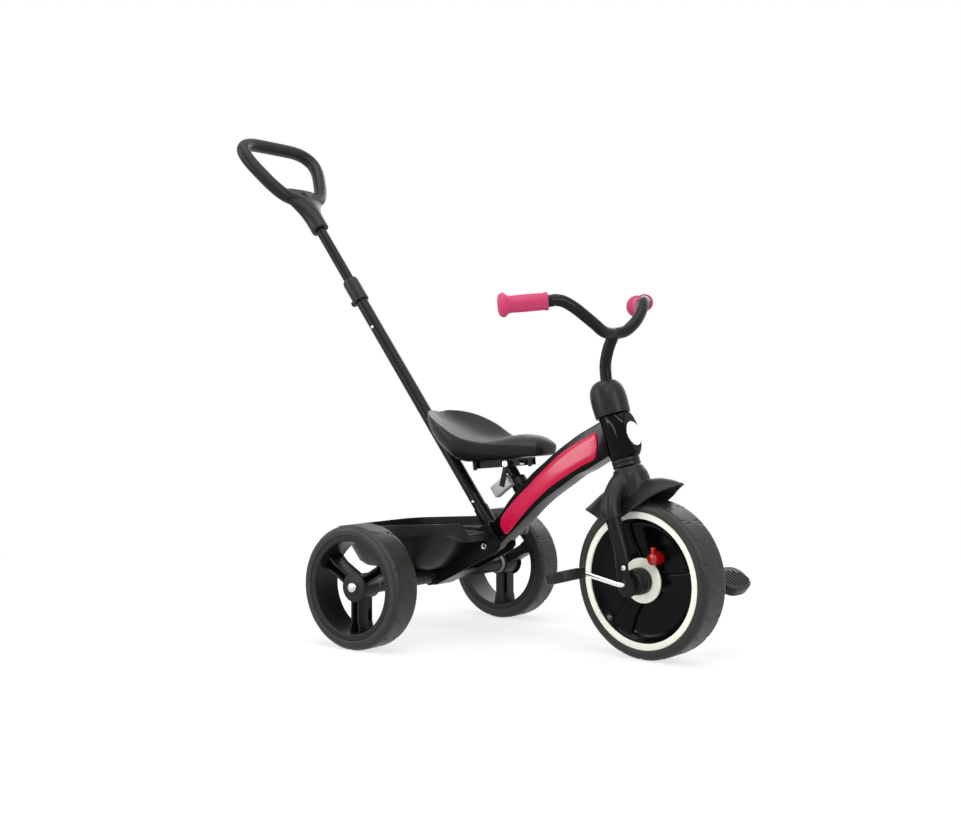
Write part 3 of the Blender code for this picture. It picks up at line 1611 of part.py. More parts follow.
def grips(frame):
    """Soft grips with a mushroom end."""
    for side, sign in (("right", -1), ("left", 1)):
        inner = Vector((GRIP_INNER[0], sign * GRIP_INNER[1], GRIP_INNER[2]))
        outer = Vector((GRIP_OUTER[0], sign * GRIP_OUTER[1], GRIP_OUTER[2]))
        length = (outer - inner).length
        bore = TUBE_R + GAP
        outline = [(radius, length - down) for down, radius in GRIP_OUTLINE]
        foot = outline[-1][1]
        profile = [*outline, (bore, foot), (bore, GRIP_SOCKET), (0, GRIP_SOCKET)]
        grip = turned("grip_" + side, profile, 16)
        aim = (outer - inner).to_track_quat("Z", "Y")
        seat_on(grip, frame, "pink", inner - Vector(frame["point"]), aim)


def front_wheel(frame):
    """Front wheel: tyre, dished disc with broad spokes, white rings and the hub."""
    hub = frame_empty("front_wheel", HUB, frame)
    hub.rotation_mode = "QUATERNION"
    hub.rotation_quaternion = outward(-1)
    half = FRONT_TYRE_W / 2
    profile = tyre_profile(FRONT_TYRE_R, half, TYRE_SHOULDER, FRONT_TYRE_BORE_R + GAP)
    seat_on(turned("front_tyre", profile, TYRE_STEPS), hub, "tyre_black")
    rim_r = FRONT_TYRE_BORE_R
    face = DISC_RIM_HALF
    panel = DISC_PANEL_HALF
    bore = CORE_R + GAP
    lip = RING_INNER_R - GAP
    disc = turned(
        "front_disc",
        (
            (bore, WHEEL_SPOKE_HALF),
            (HUB_RING_R, WHEEL_SPOKE_HALF),
            (HUB_RING_R, panel),
            (DISC_DISH_R, panel),
            (lip, face),
            (rim_r, face),
            (rim_r, -face),
            (lip, -face),
            (DISC_DISH_R, -panel),
            (HUB_RING_R, -panel),
            (HUB_RING_R, -WHEEL_SPOKE_HALF),
            (bore, -WHEEL_SPOKE_HALF),
        ),
        TYRE_STEPS,
    )
    spokes = radial_plates(
        "disc_spokes",
        spoke_outline(
            (CORE_R + HUB_RING_R) / 2,
            DISC_DISH_R * 0.8,
            lip - 0.001,
            WHEEL_SPOKE_W / 2,
            WHEEL_SPOKE_OUTER_W / 2,
        ),
        -WHEEL_SPOKE_HALF,
        WHEEL_SPOKE_HALF,
        (0, 120, 240),
    )
    join(disc, spokes)
    seat_on(disc, hub, "gloss_black")
    for side, sign in (("right", 1), ("left", -1)):
        near, far = sorted((sign * (face + GAP), sign * RING_FACE))
        outer = rim_r
        ring = turned(
            "front_ring_" + side,
            ((outer, far), (outer, near), (RING_INNER_R, near), (RING_INNER_R, far)),
            TYRE_STEPS,
        )
        seat_on(ring, hub, "cream")
        axle_bore = CRANK_R + GAP
        near, far = sorted((sign * (FLANGE_FACE + GAP), sign * DRUM_END))
        drum = turned(
            "hub_drum_" + side,
            ((DRUM_R, far), (DRUM_R, near), (axle_bore, near), (axle_bore, far)),
        )
        seat_on(drum, hub, "matte_black")
    flange = WHEEL_SPOKE_HALF + GAP
    core = turned(
        "hub_core",
        (
            (FLANGE_R, FLANGE_FACE),
            (FLANGE_R, flange),
            (CORE_R, flange),
            (CORE_R, -flange),
            (FLANGE_R, -flange),
            (FLANGE_R, -FLANGE_FACE),
            (CRANK_R + GAP, -FLANGE_FACE),
            (CRANK_R + GAP, FLANGE_FACE),
        ),
        WHEEL_STEPS,
    )
    seat_on(core, hub, "cream")
    clutch_knob(hub)


def clutch_knob(hub):
    """Red knob on the wheel that lets the pedals run free, with a finger tab."""
    foot = DISC_PANEL_HALF + GAP
    knob = rod("clutch_knob", KNOB_R, (0, 0, foot), (0, 0, KNOB_TOP), ROUND_STEPS, KNOB_R * 0.85)
    low = FLANGE_FACE + 2 * GAP
    tall = KNOB_TOP - KNOB_TAB_DOWN - low
    tab_place = Matrix.Translation((0, KNOB_R + KNOB_TAB / 2 - 0.002, low + tall / 2))
    join(knob, block("knob_tab", (KNOB_TAB_W, KNOB_TAB + 0.004, tall), tab_place))
    pivot = bpy.data.objects.new("clutch_axis", None)
    PIECES.objects.link(pivot)
    pivot.empty_display_size = 0.02
    pivot.parent = hub
    pivot.location = (KNOB_ACROSS, KNOB_UP, 0)
    seat_on(knob, pivot, "red")


def crank_bushes(frame):
    """Flanged bushes that carry the crank axle in the dropouts."""
    flange = DROPOUT_Y - DROPOUT_HALF_T - GAP
    bore = CRANK_R + GAP
    start = DRUM_END + GAP
    for side, sign in (("right", -1), ("left", 1)):
        bush = turned(
            "crank_bush_" + side,
            (
                (CRANK_BUSH_R, CRANK_BUSH_END),
                (CRANK_BUSH_R, flange),
                (CRANK_BUSH_FLANGE_R, flange),
                (CRANK_BUSH_FLANGE_R, start),
                (bore, start),
                (bore, CRANK_BUSH_END),
            ),
            16,
        )
        seat_on(bush, frame, "matte_black", HUB - Vector(frame["point"]), outward(sign))


def crank_end(sign):
    """Where a crank arm ends, on the middle plane: the right arm points back and a little up."""
    arm = Vector((math.cos(CRANK_LIFT), 0, -math.sin(CRANK_LIFT))) * CRANK_ARM
    return HUB + arm * sign


def cranks(frame):
    """One bent rod through the hub, with a pedal turning on each end."""
    carrier = frame_empty("crank", HUB, frame)
    right, left = crank_end(-1), crank_end(1)
    spindle = ACROSS * (PEDAL_Y + PEDAL_SPINDLE)
    knee = ACROSS * CRANK_KNEE_Y
    root = ACROSS * CRANK_ROOT_Y
    corners = [right - spindle, right - knee, HUB - root, HUB + root, left + knee, left + spindle]
    shaft = as_mesh(tube("crankshaft", bent_route(corners, CRANK_BEND), CRANK_R, 8))
    ride(shaft, carrier, "chrome")
    for side, sign, tilt in (("right", -1, PEDAL_TILT_RIGHT), ("left", 1, PEDAL_TILT_LEFT)):
        centre = crank_end(sign) + ACROSS * sign * PEDAL_Y
        pivot = frame_empty("pedal_axis_" + side, centre, carrier)
        near = [(-x, y * sign) for x, y in PEDAL_HALF]
        outline = near + [(x, y * sign) for x, y in reversed(PEDAL_HALF)]
        pedal = plate("pedal_" + side, (outline,), PEDAL_T, Matrix.Identity(4))
        round_edges(pedal, PEDAL_EDGE, 2)
        socket = rod(
            "pedal_socket_" + side,
            CRANK_R + GAP,
            (0, -sign * REACH, 0),
            (0, sign * PEDAL_SOCKET, 0),
            SMALL_STEPS,
        )
        cut(pedal, socket)
        seat_on(pedal, pivot, "matte_black", (0, 0, 0), Quaternion(ACROSS, tilt))


def centre_footprint(root):
    """Moves the root so that the origin lies under the middle of the whole box, on the floor."""
    bpy.context.view_layer.update()
    graph = bpy.context.evaluated_depsgraph_get()
    lows = []
    highs = []
    for obj in PIECES.objects:
        if obj.type == "EMPTY":
            continue
        solid = obj.evaluated_get(graph)
        mesh = solid.to_mesh()
        points = np.empty(len(mesh.vertices) * 3, np.float32)
        mesh.vertices.foreach_get("co", points)
        world = np.array(solid.matrix_world)
        places = points.reshape(-1, 3) @ world[:3, :3].T + world[:3, 3]
        solid.to_mesh_clear()
        lows.append(places.min(axis=0))
        highs.append(places.max(axis=0))
    low = np.min(lows, axis=0)
    high = np.max(highs, axis=0)
    root.location = (-(low[0] + high[0]) / 2, -(low[1] + high[1]) / 2, -low[2])
    bpy.context.view_layer.update()


def build():
    """Builds the tricycle from the rear axle forward."""
    root = frame_empty("tricycle", (0, 0, 0))
    rear_wheels(root)
    rear_bracket(root)
    fold_pin(root)
    basket(root)
    bar = frame_empty("push_bar", on_bar(0), root)
    push_bar_low(bar)
    spring_pin("release_button", bar, RELEASE_STATION)
    spring_pin("length_pin", bar, LENGTH_STATION)
    bar_collar(bar)
    upper = frame_empty("push_bar_slide", on_bar(BAR_LOW_TOP), bar)
    push_bar_up(upper)
    push_handle(upper)
    front = frame_empty("front_frame", FOLD_PIN, root)
    main_beam(front)
    beam_panels(front)
    head_tube(front)
    lower_bearing(front)
    seat_clamp(front)
    post = frame_empty("seat_slide", POST_FOOT, front)
    saddle(post)
    seat_latch(post, seat_fixings(post))
    steering = frame_empty("steering", on_axis(HEAD_FOOT), front)
    steering.rotation_mode = "QUATERNION"
    steering.rotation_quaternion = Quaternion(STEER_AXIS, STEER_REST)
    fork_crown(steering)
    fork_legs(steering)
    steerer(steering)
    handlebar(steering)
    head_cap(steering)
    grips(steering)
    crank_bushes(steering)
    front_wheel(steering)
    cranks(steering)
    centre_footprint(root)


build()
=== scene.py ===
"""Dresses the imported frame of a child's folding tricycle for its photograph.

Sizes are in metres. Places along the tricycle are counted from the rear axle and heights from the
floor, and a Layout turns them into the frame's own coordinates.
"""

from __future__ import annotations

import json
import logging
import math
from collections.abc import Callable, Sequence
from dataclasses import dataclass, field
from enum import Enum
from typing import Any

import bmesh
import bpy
from mathutils import Matrix, Vector

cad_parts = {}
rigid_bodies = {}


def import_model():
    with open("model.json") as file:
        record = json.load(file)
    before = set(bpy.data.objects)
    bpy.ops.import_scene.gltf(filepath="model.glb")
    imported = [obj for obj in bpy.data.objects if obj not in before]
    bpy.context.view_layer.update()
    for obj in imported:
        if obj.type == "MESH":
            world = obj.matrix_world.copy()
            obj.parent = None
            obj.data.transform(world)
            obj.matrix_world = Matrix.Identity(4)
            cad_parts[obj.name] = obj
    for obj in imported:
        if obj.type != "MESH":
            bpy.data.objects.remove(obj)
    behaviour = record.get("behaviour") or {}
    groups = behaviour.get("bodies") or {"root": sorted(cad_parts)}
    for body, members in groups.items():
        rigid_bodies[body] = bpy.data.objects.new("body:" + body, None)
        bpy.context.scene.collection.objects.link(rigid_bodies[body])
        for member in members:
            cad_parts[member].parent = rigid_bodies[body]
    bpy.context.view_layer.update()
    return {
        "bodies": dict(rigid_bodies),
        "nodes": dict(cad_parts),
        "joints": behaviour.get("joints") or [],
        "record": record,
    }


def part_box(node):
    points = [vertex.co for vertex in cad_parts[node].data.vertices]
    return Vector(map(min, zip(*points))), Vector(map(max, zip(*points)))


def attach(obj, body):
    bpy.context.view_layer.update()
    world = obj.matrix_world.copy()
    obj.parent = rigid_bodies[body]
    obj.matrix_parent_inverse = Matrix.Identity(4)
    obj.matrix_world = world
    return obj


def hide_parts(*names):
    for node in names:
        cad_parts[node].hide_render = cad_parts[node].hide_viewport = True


LOG = logging.getLogger("tricycle")
SMOOTH_ANGLE = math.radians(32)
WELD = 1e-6
# Steps round a turned piece, from the wheels' rims down to the smallest pins.
RIM_ROUND = 144
ROUND = 96
BORE_ROUND = 64
SMALL_ROUND = 48
PIN_ROUND = 40
# Radii of the holes for the rear axle and for the crank rod.
AXLE_BORE = 0.0053
ROD_BORE = 0.0043
# Patterns over a surface, in waves per metre.
DRIFT_SCALE = 14.0
RIPPLE_SCALE = 38.0
WEAR_SCALE = 55.0
DUST_SCALE = 260.0
Y_AXIS = Vector((0, 1, 0))
Point = Sequence[float]


class Slot(Enum):
    """The record's material slots."""

    MATTE_BLACK = "matte_black"
    GLOSS_BLACK = "gloss_black"
    TYRE = "tyre_black"
    CRIMSON = "crimson"
    PINK = "pink"
    CREAM = "cream"
    WHITE = "white"
    GREY = "grey_plastic"
    SILVER = "silver_plastic"
    PAINTED_STEEL = "painted_steel"
    STEEL = "steel"
    CHROME = "chrome"
    RED = "red"


class Side(Enum):
    """The rider's sides, as the sign of Y."""

    RIGHT = -1
    LEFT = 1

    @property
    def label(self) -> str:
        """The side's name in a node's name."""
        return self.name.lower()


class Socket:
    """A shader value that can be written as Python arithmetic."""

    def __init__(self, skin: Skin, output: bpy.types.NodeSocket) -> None:
        """Wraps an output of one of the skin's nodes."""
        self.skin = skin
        self.output = output

    def _math(self, operation: str, first: Any, second: Any) -> Socket:
        """Adds one Math node."""
        return self.skin.node("ShaderNodeMath", {"operation": operation}, {0: first, 1: second})

    def __add__(self, other: Any) -> Socket:
        """Sum."""
        return self._math("ADD", self, other)

    def __radd__(self, other: Any) -> Socket:
        """Sum, from the right."""
        return self._math("ADD", other, self)

    def __sub__(self, other: Any) -> Socket:
        """Difference."""
        return self._math("SUBTRACT", self, other)

    def __rsub__(self, other: Any) -> Socket:
        """Difference, from the right."""
        return self._math("SUBTRACT", other, self)

    def __mul__(self, other: Any) -> Socket:
        """Product."""
        return self._math("MULTIPLY", self, other)

    def __rmul__(self, other: Any) -> Socket:
        """Product, from the right."""
        return self._math("MULTIPLY", other, self)


class Skin:
    """The node tree of one material."""

    def __init__(self, name: str) -> None:
        """Starts a material with a Principled shader."""
        self.material = bpy.data.materials.new(name)
        self.material.use_nodes = True
        self.tree = self.material.node_tree
        self.shader = self.tree.nodes["Principled BSDF"]
        self.place = self.node("ShaderNodeTexCoord", output="Object")

    def join(self, value: Any, target: bpy.types.NodeSocket) -> None:
        """Links a Socket to a node's input, or sets the input's own value."""
        if isinstance(value, Socket):
            self.tree.links.new(value.output, target)
        else:
            target.default_value = value

    def node(
        self,
        kind: str,
        settings: dict[str, Any] | None = None,
        inputs: dict[Any, Any] | None = None,
        output: Any = 0,
    ) -> Socket:
        """Adds a node.

        Args:
            kind: The node's type.
            settings: Its properties, which are set first.
            inputs: Values or Sockets for its inputs, by name or number.
            output: Name or number of the output to hand back.

        Returns:
            The chosen output.
        """
        made = self.tree.nodes.new(kind)
        for key, value in (settings or {}).items():
            setattr(made, key, value)
        for key, value in (inputs or {}).items():
            self.join(value, made.inputs[key])
        return Socket(self, made.outputs[output])

    def noise(self, scale: float, detail: float = 2.0, rough: float = 0.5) -> Socket:
        """Noise from 0 to 1 on Object coordinates, at a scale per metre."""
        inputs = {"Vector": self.place, "Scale": scale, "Detail": detail, "Roughness": rough}
        return self.node("ShaderNodeTexNoise", None, inputs)

    def cells(self, scale: float) -> Socket:
        """Distance to the middle of the nearest cell, at a scale per metre."""
        return self.node("ShaderNodeTexVoronoi", None, {"Vector": self.place, "Scale": scale})

    def band(self, value: Socket, low: float, high: float) -> Socket:
        """A value's rise from low to high, as 0 to 1."""
        inputs = {"Value": value, "From Min": low, "From Max": high}
        return self.node("ShaderNodeMapRange", {"clamp": True}, inputs)

    def blend(self, share: Any, first: Any, second: Any) -> Socket:
        """Mixes two colours."""
        return self.node("ShaderNodeMix", {"data_type": "RGBA"}, {0: share, 6: first, 7: second}, 2)

    def bump(self, height: Socket, depth: float, under: Socket | None = None) -> Socket:
        """A normal roughened by a height from 0 to 1, over another normal."""
        inputs: dict[Any, Any] = {"Strength": 1.0, "Distance": depth, "Height": height}
        if under is not None:
            inputs["Normal"] = under
        return self.node("ShaderNodeBump", None, inputs)

    def feed(self, **values: Any) -> None:
        """Sets or links the shader's inputs, whose names are given with underscores."""
        for key, value in values.items():
            self.join(value, self.shader.inputs[key.replace("_", " ").title().replace("Ior", "IOR")])


def colour(red: float, green: float, blue: float) -> tuple[float, float, float, float]:
    """An opaque colour from its linear parts."""
    return (red, green, blue, 1.0)


def tint(base: tuple[float, ...], share: float) -> tuple[float, ...]:
    """A colour made lighter by a share of itself, or darker where it is negative."""
    return (*(min(1.0, part * (1 + share)) for part in base[:3]), 1.0)


@dataclass(frozen=True)
class Finish:
    """A moulded, painted or plated surface.

    Attributes:
        slot: The record's slot.
        base: Its linear colour.
        roughness: Its middle roughness.
        metallic: 1 on bare metal.
        coat: Clear gloss over it.
        mottle: How far its colour drifts over a hand's width.
        grain: Size of its moulded texture, in grains per metre.
        depth: Depth of that texture.
        ripple: Depth of the broad unevenness of a thick gloss.
        scuff: How far handling varies its roughness.
        specular: Strength of its bare reflection.
    """

    slot: Slot
    base: tuple[float, float, float, float]
    roughness: float
    metallic: float = 0.0
    coat: float = 0.0
    mottle: float = 0.06
    grain: float = 1400.0
    depth: float = 0.00004
    ripple: float = 0.0
    scuff: float = 0.10
    specular: float = 0.25

    def drift(self, skin: Skin) -> Socket:
        """Base colour with its slow drift and a little settled dust."""
        slow = skin.band(skin.noise(DRIFT_SCALE, 3.0), 0.35, 0.65)
        drifted = skin.blend(slow, tint(self.base, -self.mottle), tint(self.base, self.mottle * 0.7))
        dust = skin.band(skin.noise(DUST_SCALE, 6.0, 0.7), 0.62, 0.80) * self.mottle
        return skin.blend(dust, drifted, tint(self.base, 1.5))

    def wear(self, skin: Skin) -> Socket:
        """Roughness with handling marks."""
        marks = skin.noise(WEAR_SCALE, 5.0, 0.65)
        return (marks - 0.5) * (2.0 * self.scuff) + self.roughness

    def relief(self, skin: Skin) -> Socket:
        """Normal with the moulded grain over any broad ripple."""
        under = skin.bump(skin.noise(RIPPLE_SCALE, 1.0), self.ripple) if self.ripple else None
        return skin.bump(skin.noise(self.grain, 2.0), self.depth, under)

    def make(self) -> bpy.types.Material:
        """Makes the material."""
        skin = Skin(self.slot.value + "_finish")
        skin.feed(
            base_color=self.drift(skin),
            roughness=self.wear(skin),
            normal=self.relief(skin),
            metallic=self.metallic,
            specular_ior_level=self.specular,
            coat_weight=self.coat,
            coat_roughness=0.05,
        )
        return skin.material


@dataclass(frozen=True)
class FoamFinish(Finish):
    """Closed-cell foam of the tyres, with fine pores in a softly uneven skin."""

    pores: float = 900.0
    waves: float = 120.0
    wave_depth: float = 0.00012

    def relief(self, skin: Skin) -> Socket:
        """Normal with pores over a soft waviness."""
        under = skin.bump(skin.noise(self.waves, 3.0), self.wave_depth)
        return skin.bump(skin.cells(self.pores), self.depth, under)


@dataclass(frozen=True)
class PlatedFinish(Finish):
    """Bright metal with fine polishing marks."""

    def relief(self, skin: Skin) -> Socket:
        """Normal with very faint marks."""
        return skin.bump(skin.noise(self.grain, 3.0, 0.7), self.depth)


FINISHES: tuple[Finish, ...] = (
    Finish(
        Slot.MATTE_BLACK,
        colour(0.010, 0.011, 0.009),
        0.36,
        mottle=0.10,
        depth=0.00003,
        specular=0.18,
    ),
    Finish(
        Slot.GLOSS_BLACK,
        colour(0.002, 0.002, 0.002),
        0.12,
        depth=0.000003,
        ripple=0.00003,
        scuff=0.04,
        specular=0.08,
    ),
    FoamFinish(
        Slot.TYRE,
        colour(0.015, 0.016, 0.0135),
        0.42,
        mottle=0.12,
        depth=0.00005,
        scuff=0.07,
        specular=0.28,
    ),
    Finish(
        Slot.CRIMSON,
        colour(0.460, 0.004, 0.045),
        0.16,
        coat=0.10,
        depth=0.000004,
        ripple=0.00003,
        scuff=0.04,
        specular=0.12,
    ),
    Finish(Slot.PINK, colour(0.420, 0.028, 0.094), 0.46, mottle=0.08, depth=0.00004),
    Finish(Slot.CREAM, colour(0.760, 0.760, 0.660), 0.38, mottle=0.05, depth=0.00002),
    Finish(Slot.WHITE, colour(0.780, 0.790, 0.790), 0.22, coat=0.3, mottle=0.04, depth=0.00001),
    Finish(Slot.GREY, colour(0.300, 0.300, 0.290), 0.42, depth=0.00002),
    Finish(
        Slot.SILVER,
        colour(0.300, 0.300, 0.310),
        0.34,
        metallic=0.3,
        grain=1800.0,
        depth=0.00001,
        specular=0.5,
    ),
    Finish(
        Slot.PAINTED_STEEL,
        colour(0.006, 0.007, 0.006),
        0.30,
        grain=2600.0,
        depth=0.000008,
        scuff=0.05,
        specular=0.12,
    ),
    PlatedFinish(
        Slot.STEEL,
        colour(0.620, 0.620, 0.610),
        0.28,
        metallic=1.0,
        grain=900.0,
        depth=0.00001,
        specular=0.5,
    ),
    PlatedFinish(
        Slot.CHROME,
        colour(0.780, 0.780, 0.780),
        0.10,
        metallic=1.0,
        grain=300.0,
        depth=0.000004,
        scuff=0.04,
        specular=0.5,
    ),
    Finish(
        Slot.RED,
        colour(0.290, 0.002, 0.002),
        0.18,
        coat=0.5,
        depth=0.000005,
        ripple=0.00005,
        scuff=0.04,
    ),
)


@dataclass(frozen=True)
class Layout:
    """Where the tricycle's own lines lie.

    Attributes:
        shift: From the rear axle's place to the frame's origin, along X.
        bar_foot: Station 0 of the push bar.
        bar_lean: Its lean back from upright.
        wheelbase: From the rear axle to the front hub.
        hub_height: Height of the front hub.
        trail: From the front hub to the steering axis at the hub's level.
        steer_tilt: The steering axis's lean back from upright.
        steer_rest: How far the fork stands turned.
        head_foot: Station of the head tube's foot, about which the fork turns.
        post_foot: Station 0 of the seat post.
        leg_behind: How far the legs run behind the steering axis.
        fold_pin: The pin through the rear bracket and the beam's tail.
    """

    shift: float
    bar_foot: Vector = field(default_factory=lambda: Vector((0.0842, 0, 0.2341)))
    bar_lean: float = math.radians(36.74)
    wheelbase: float = 0.4231
    hub_height: float = 0.1257
    trail: float = 0.0170
    steer_tilt: float = math.radians(18.0)
    steer_rest: float = math.radians(-7.34)
    head_foot: float = 0.1970
    post_foot: Vector = field(default_factory=lambda: Vector((0.1780, 0, 0.2620)))
    leg_behind: float = 0.0114
    fold_pin: tuple[float, float, float] = (0.1176, 0.0, 0.1591)

    @property
    def bar_up(self) -> Vector:
        """Direction up the push bar and the seat post."""
        return Vector((-math.sin(self.bar_lean), 0, math.cos(self.bar_lean)))

    @property
    def bar_out(self) -> Vector:
        """The push bar's forward normal."""
        return Vector((math.cos(self.bar_lean), 0, math.sin(self.bar_lean)))

    @property
    def steer_up(self) -> Vector:
        """Direction up the steering axis."""
        return Vector((-math.sin(self.steer_tilt), 0, math.cos(self.steer_tilt)))

    @property
    def steer_out(self) -> Vector:
        """The steering axis's forward normal."""
        return Vector((math.cos(self.steer_tilt), 0, math.sin(self.steer_tilt)))

    @property
    def hub(self) -> Vector:
        """The front hub."""
        return Vector((self.wheelbase, 0, self.hub_height))

    @property
    def fixed(self) -> Matrix:
        """Brings a piece from the tricycle's lines to the frame."""
        return Matrix.Translation((self.shift, 0, 0))

    @property
    def steered(self) -> Matrix:
        """The same, for a piece that turns with the fork."""
        pivot = self.on_axis(self.head_foot)
        turn = Matrix.Rotation(self.steer_rest, 4, self.steer_up)
        return self.fixed @ Matrix.Translation(pivot) @ turn @ Matrix.Translation(-pivot)

    def on_axis(self, station: float, out: float = 0.0, across: float = 0.0) -> Vector:
        """Point at a station up the steering axis."""
        foot = self.hub + Vector((self.trail, 0, 0))
        return foot + self.steer_up * station + self.steer_out * out + Y_AXIS * across

    def on_bar(self, station: float, across: float = 0.0, out: float = 0.0) -> Vector:
        """Point at a station up the push bar."""
        return self.bar_foot + self.bar_up * station + Y_AXIS * across + self.bar_out * out

    def on_leg(self, up: float, across: float) -> Vector:
        """Point of a fork leg's line at a height over the hub."""
        return self.on_axis(up / self.steer_up.z, -self.leg_behind, across)

    @property
    def axis_stand(self) -> Matrix:
        """Station 0 of the steering axis, with Z up it."""
        return upright(self.on_axis(0), self.steer_up)

    @property
    def post_stand(self) -> Matrix:
        """Station 0 of the seat post, with Z up it."""
        return upright(self.post_foot, self.bar_up)


def axes(origin: Point, along: Vector, beside: Vector) -> Matrix:
    """A matrix whose X and Y follow two square directions from a point.

    Args:
        origin: The point.
        along: Where X goes.
        beside: Where Y goes.

    Returns:
        The matrix.
    """
    turn = Matrix((along, beside, along.cross(beside))).transposed().to_4x4()
    return Matrix.Translation(origin) @ turn


def upright(origin: Point, up: Vector) -> Matrix:
    """A matrix whose Z follows a direction from a point."""
    return Matrix.Translation(origin) @ up.to_track_quat("Z", "Y").to_matrix().to_4x4()


def outward(origin: Point, side: Side) -> Matrix:
    """A matrix whose Z points out to one side from a point, with Y up.

    Args:
        origin: The point.
        side: The side.

    Returns:
        The matrix.
    """
    turn = Matrix.Rotation(math.radians(90), 4, "X")
    if side is Side.LEFT:
        turn = Matrix.Rotation(math.pi, 4, "Z") @ turn
    return Matrix.Translation(origin) @ turn


def side_plane() -> Matrix:
    """A matrix that stands a flat outline of (forward, up) on the middle plane."""
    return Matrix.Rotation(math.radians(90), 4, "X")


def rounded(profile: Sequence[Point], loop: bool, steps: int = 4) -> list[tuple[float, float]]:
    """Rounds the corners of a flat outline.

    Args:
        profile: Corners as (u, v) or (u, v, radius).
        loop: Whether the last corner joins the first.
        steps: Steps in each rounded corner.

    Returns:
        The outline's points.
    """
    corners = [Vector(corner[:2]) for corner in profile]
    radii = [corner[2] if len(corner) > 2 else 0.0 for corner in profile]
    count = len(corners)
    result: list[tuple[float, float]] = []
    for index, (corner, radius) in enumerate(zip(corners, radii)):
        inner = loop or 0 < index < count - 1
        if not (radius and inner):
            result.append(tuple(corner))
            continue
        before = corners[index - 1] - corner
        after = corners[(index + 1) % count] - corner
        reach = min(radius, before.length * 0.49, after.length * 0.49)
        start = corner + before.normalized() * reach
        end = corner + after.normalized() * reach
        for step in range(steps + 1):
            t = step / steps
            point = start * (1 - t) ** 2 + corner * 2 * t * (1 - t) + end * t**2
            result.append(tuple(point))
    return result


def smooth_route(points: Sequence[Point], steps: int, loop: bool = False) -> list[Vector]:
    """A smooth curve through points.

    Args:
        points: The points it passes through.
        steps: Steps in each span.
        loop: Whether it closes.

    Returns:
        The curve's points; a closed one doesn't repeat its first.
    """
    given = [Vector(point) for point in points]
    if loop:
        ends = [given[-1], *given, given[0], given[1]]
    else:
        ends = [given[0] * 2 - given[1], *given, given[-1] * 2 - given[-2]]
    route: list[Vector] = []
    for index in range(1, len(ends) - 2):
        before, start, end, after = ends[index - 1 : index + 3]
        for step in range(steps):
            t = step / steps
            curve = 2 * start + (end - before) * t
            curve = curve + (2 * before - 5 * start + 4 * end - after) * t**2
            curve = curve + (3 * start - before - 3 * end + after) * t**3
            route.append(curve * 0.5)
    if not loop:
        route.append(given[-1])
    return route


def ellipse(centre: Vector, first: Vector, second: Vector, count: int) -> list[Vector]:
    """Points of an ellipse, given its half axes as vectors."""
    turns = [2 * math.pi * index / count for index in range(count)]
    return [centre + first * math.cos(turn) + second * math.sin(turn) for turn in turns]


def turned(profile: Sequence[Point], place: Matrix, steps: int = ROUND) -> bmesh.types.BMesh:
    """Spins a profile of (radius, height) or (radius, height, rounding) about Z.

    Args:
        profile: The profile, which closes on itself unless both its ends are on the axis.
        place: Brings Z to the piece's axis.
        steps: Steps round it.

    Returns:
        The closed shape.
    """
    solid = profile[0][0] == 0 and profile[-1][0] == 0
    points = rounded(profile, loop=not solid)
    shape = bmesh.new()
    verts = [shape.verts.new((radius, 0, height)) for radius, height in points]
    edges = [shape.edges.new(pair) for pair in zip(verts, verts[1:])]
    if not solid:
        edges.append(shape.edges.new((verts[-1], verts[0])))
    bmesh.ops.spin(
        shape,
        geom=verts + edges,
        cent=(0, 0, 0),
        axis=(0, 0, 1),
        dvec=(0, 0, 0),
        angle=2 * math.pi,
        steps=steps,
        use_merge=True,
        use_duplicate=False,
    )
    shape.transform(place)
    return shape


def skinned(rings: Sequence[Sequence[Vector]], loop: bool = False) -> bmesh.types.BMesh:
    """Extrudes one ring of points through the others, and caps the ends of an open skin.

    Args:
        rings: The rings, each with as many points.
        loop: Whether the last joins the first.

    Returns:
        The closed shape.
    """
    shape = bmesh.new()
    ring = [shape.verts.new(point) for point in rings[0]]
    edges = [shape.edges.new(pair) for pair in zip(ring, ring[1:] + ring[:1])]
    if not loop:
        shape.faces.new(ring)
    for points in [*rings[1:], rings[0]] if loop else rings[1:]:
        made = bmesh.ops.extrude_edge_only(shape, edges=edges)["geom"]
        fresh = {item for item in made if isinstance(item, bmesh.types.BMVert)}
        ring = [
            next(edge.other_vert(vert) for edge in vert.link_edges if edge.other_vert(vert) in fresh)
            for vert in ring
        ]
        for vert, point in zip(ring, points):
            vert.co = point
        edges = [
            item
            for item in made
            if isinstance(item, bmesh.types.BMEdge) and all(vert in fresh for vert in item.verts)
        ]
    if not loop:
        shape.faces.new(ring)
    return shape


def swept(
    route: Sequence[Vector], radius: float | Sequence[float], sides: int = 24, loop: bool = False
) -> bmesh.types.BMesh:
    """Sweeps a circle along a route without twisting it.

    Args:
        route: The route's points.
        radius: The circle's radius, or one for each point.
        sides: Points round the circle.
        loop: Whether the route closes.

    Returns:
        The closed shape.
    """
    count = len(route)
    radii = [radius] * count if isinstance(radius, float) else list(radius)
    rings = []
    beside: Vector | None = None
    for index, (point, size) in enumerate(zip(route, radii)):
        ahead = route[(index + 1) % count] if loop or index < count - 1 else point
        behind = route[index - 1] if loop or index else point
        along = (ahead - behind).normalized()
        if beside is None:
            beside = along.orthogonal().normalized()
        beside = (beside - along * beside.dot(along)).normalized()
        rings.append(ellipse(point, beside * size, along.cross(beside) * size, sides))
    return skinned(rings, loop)


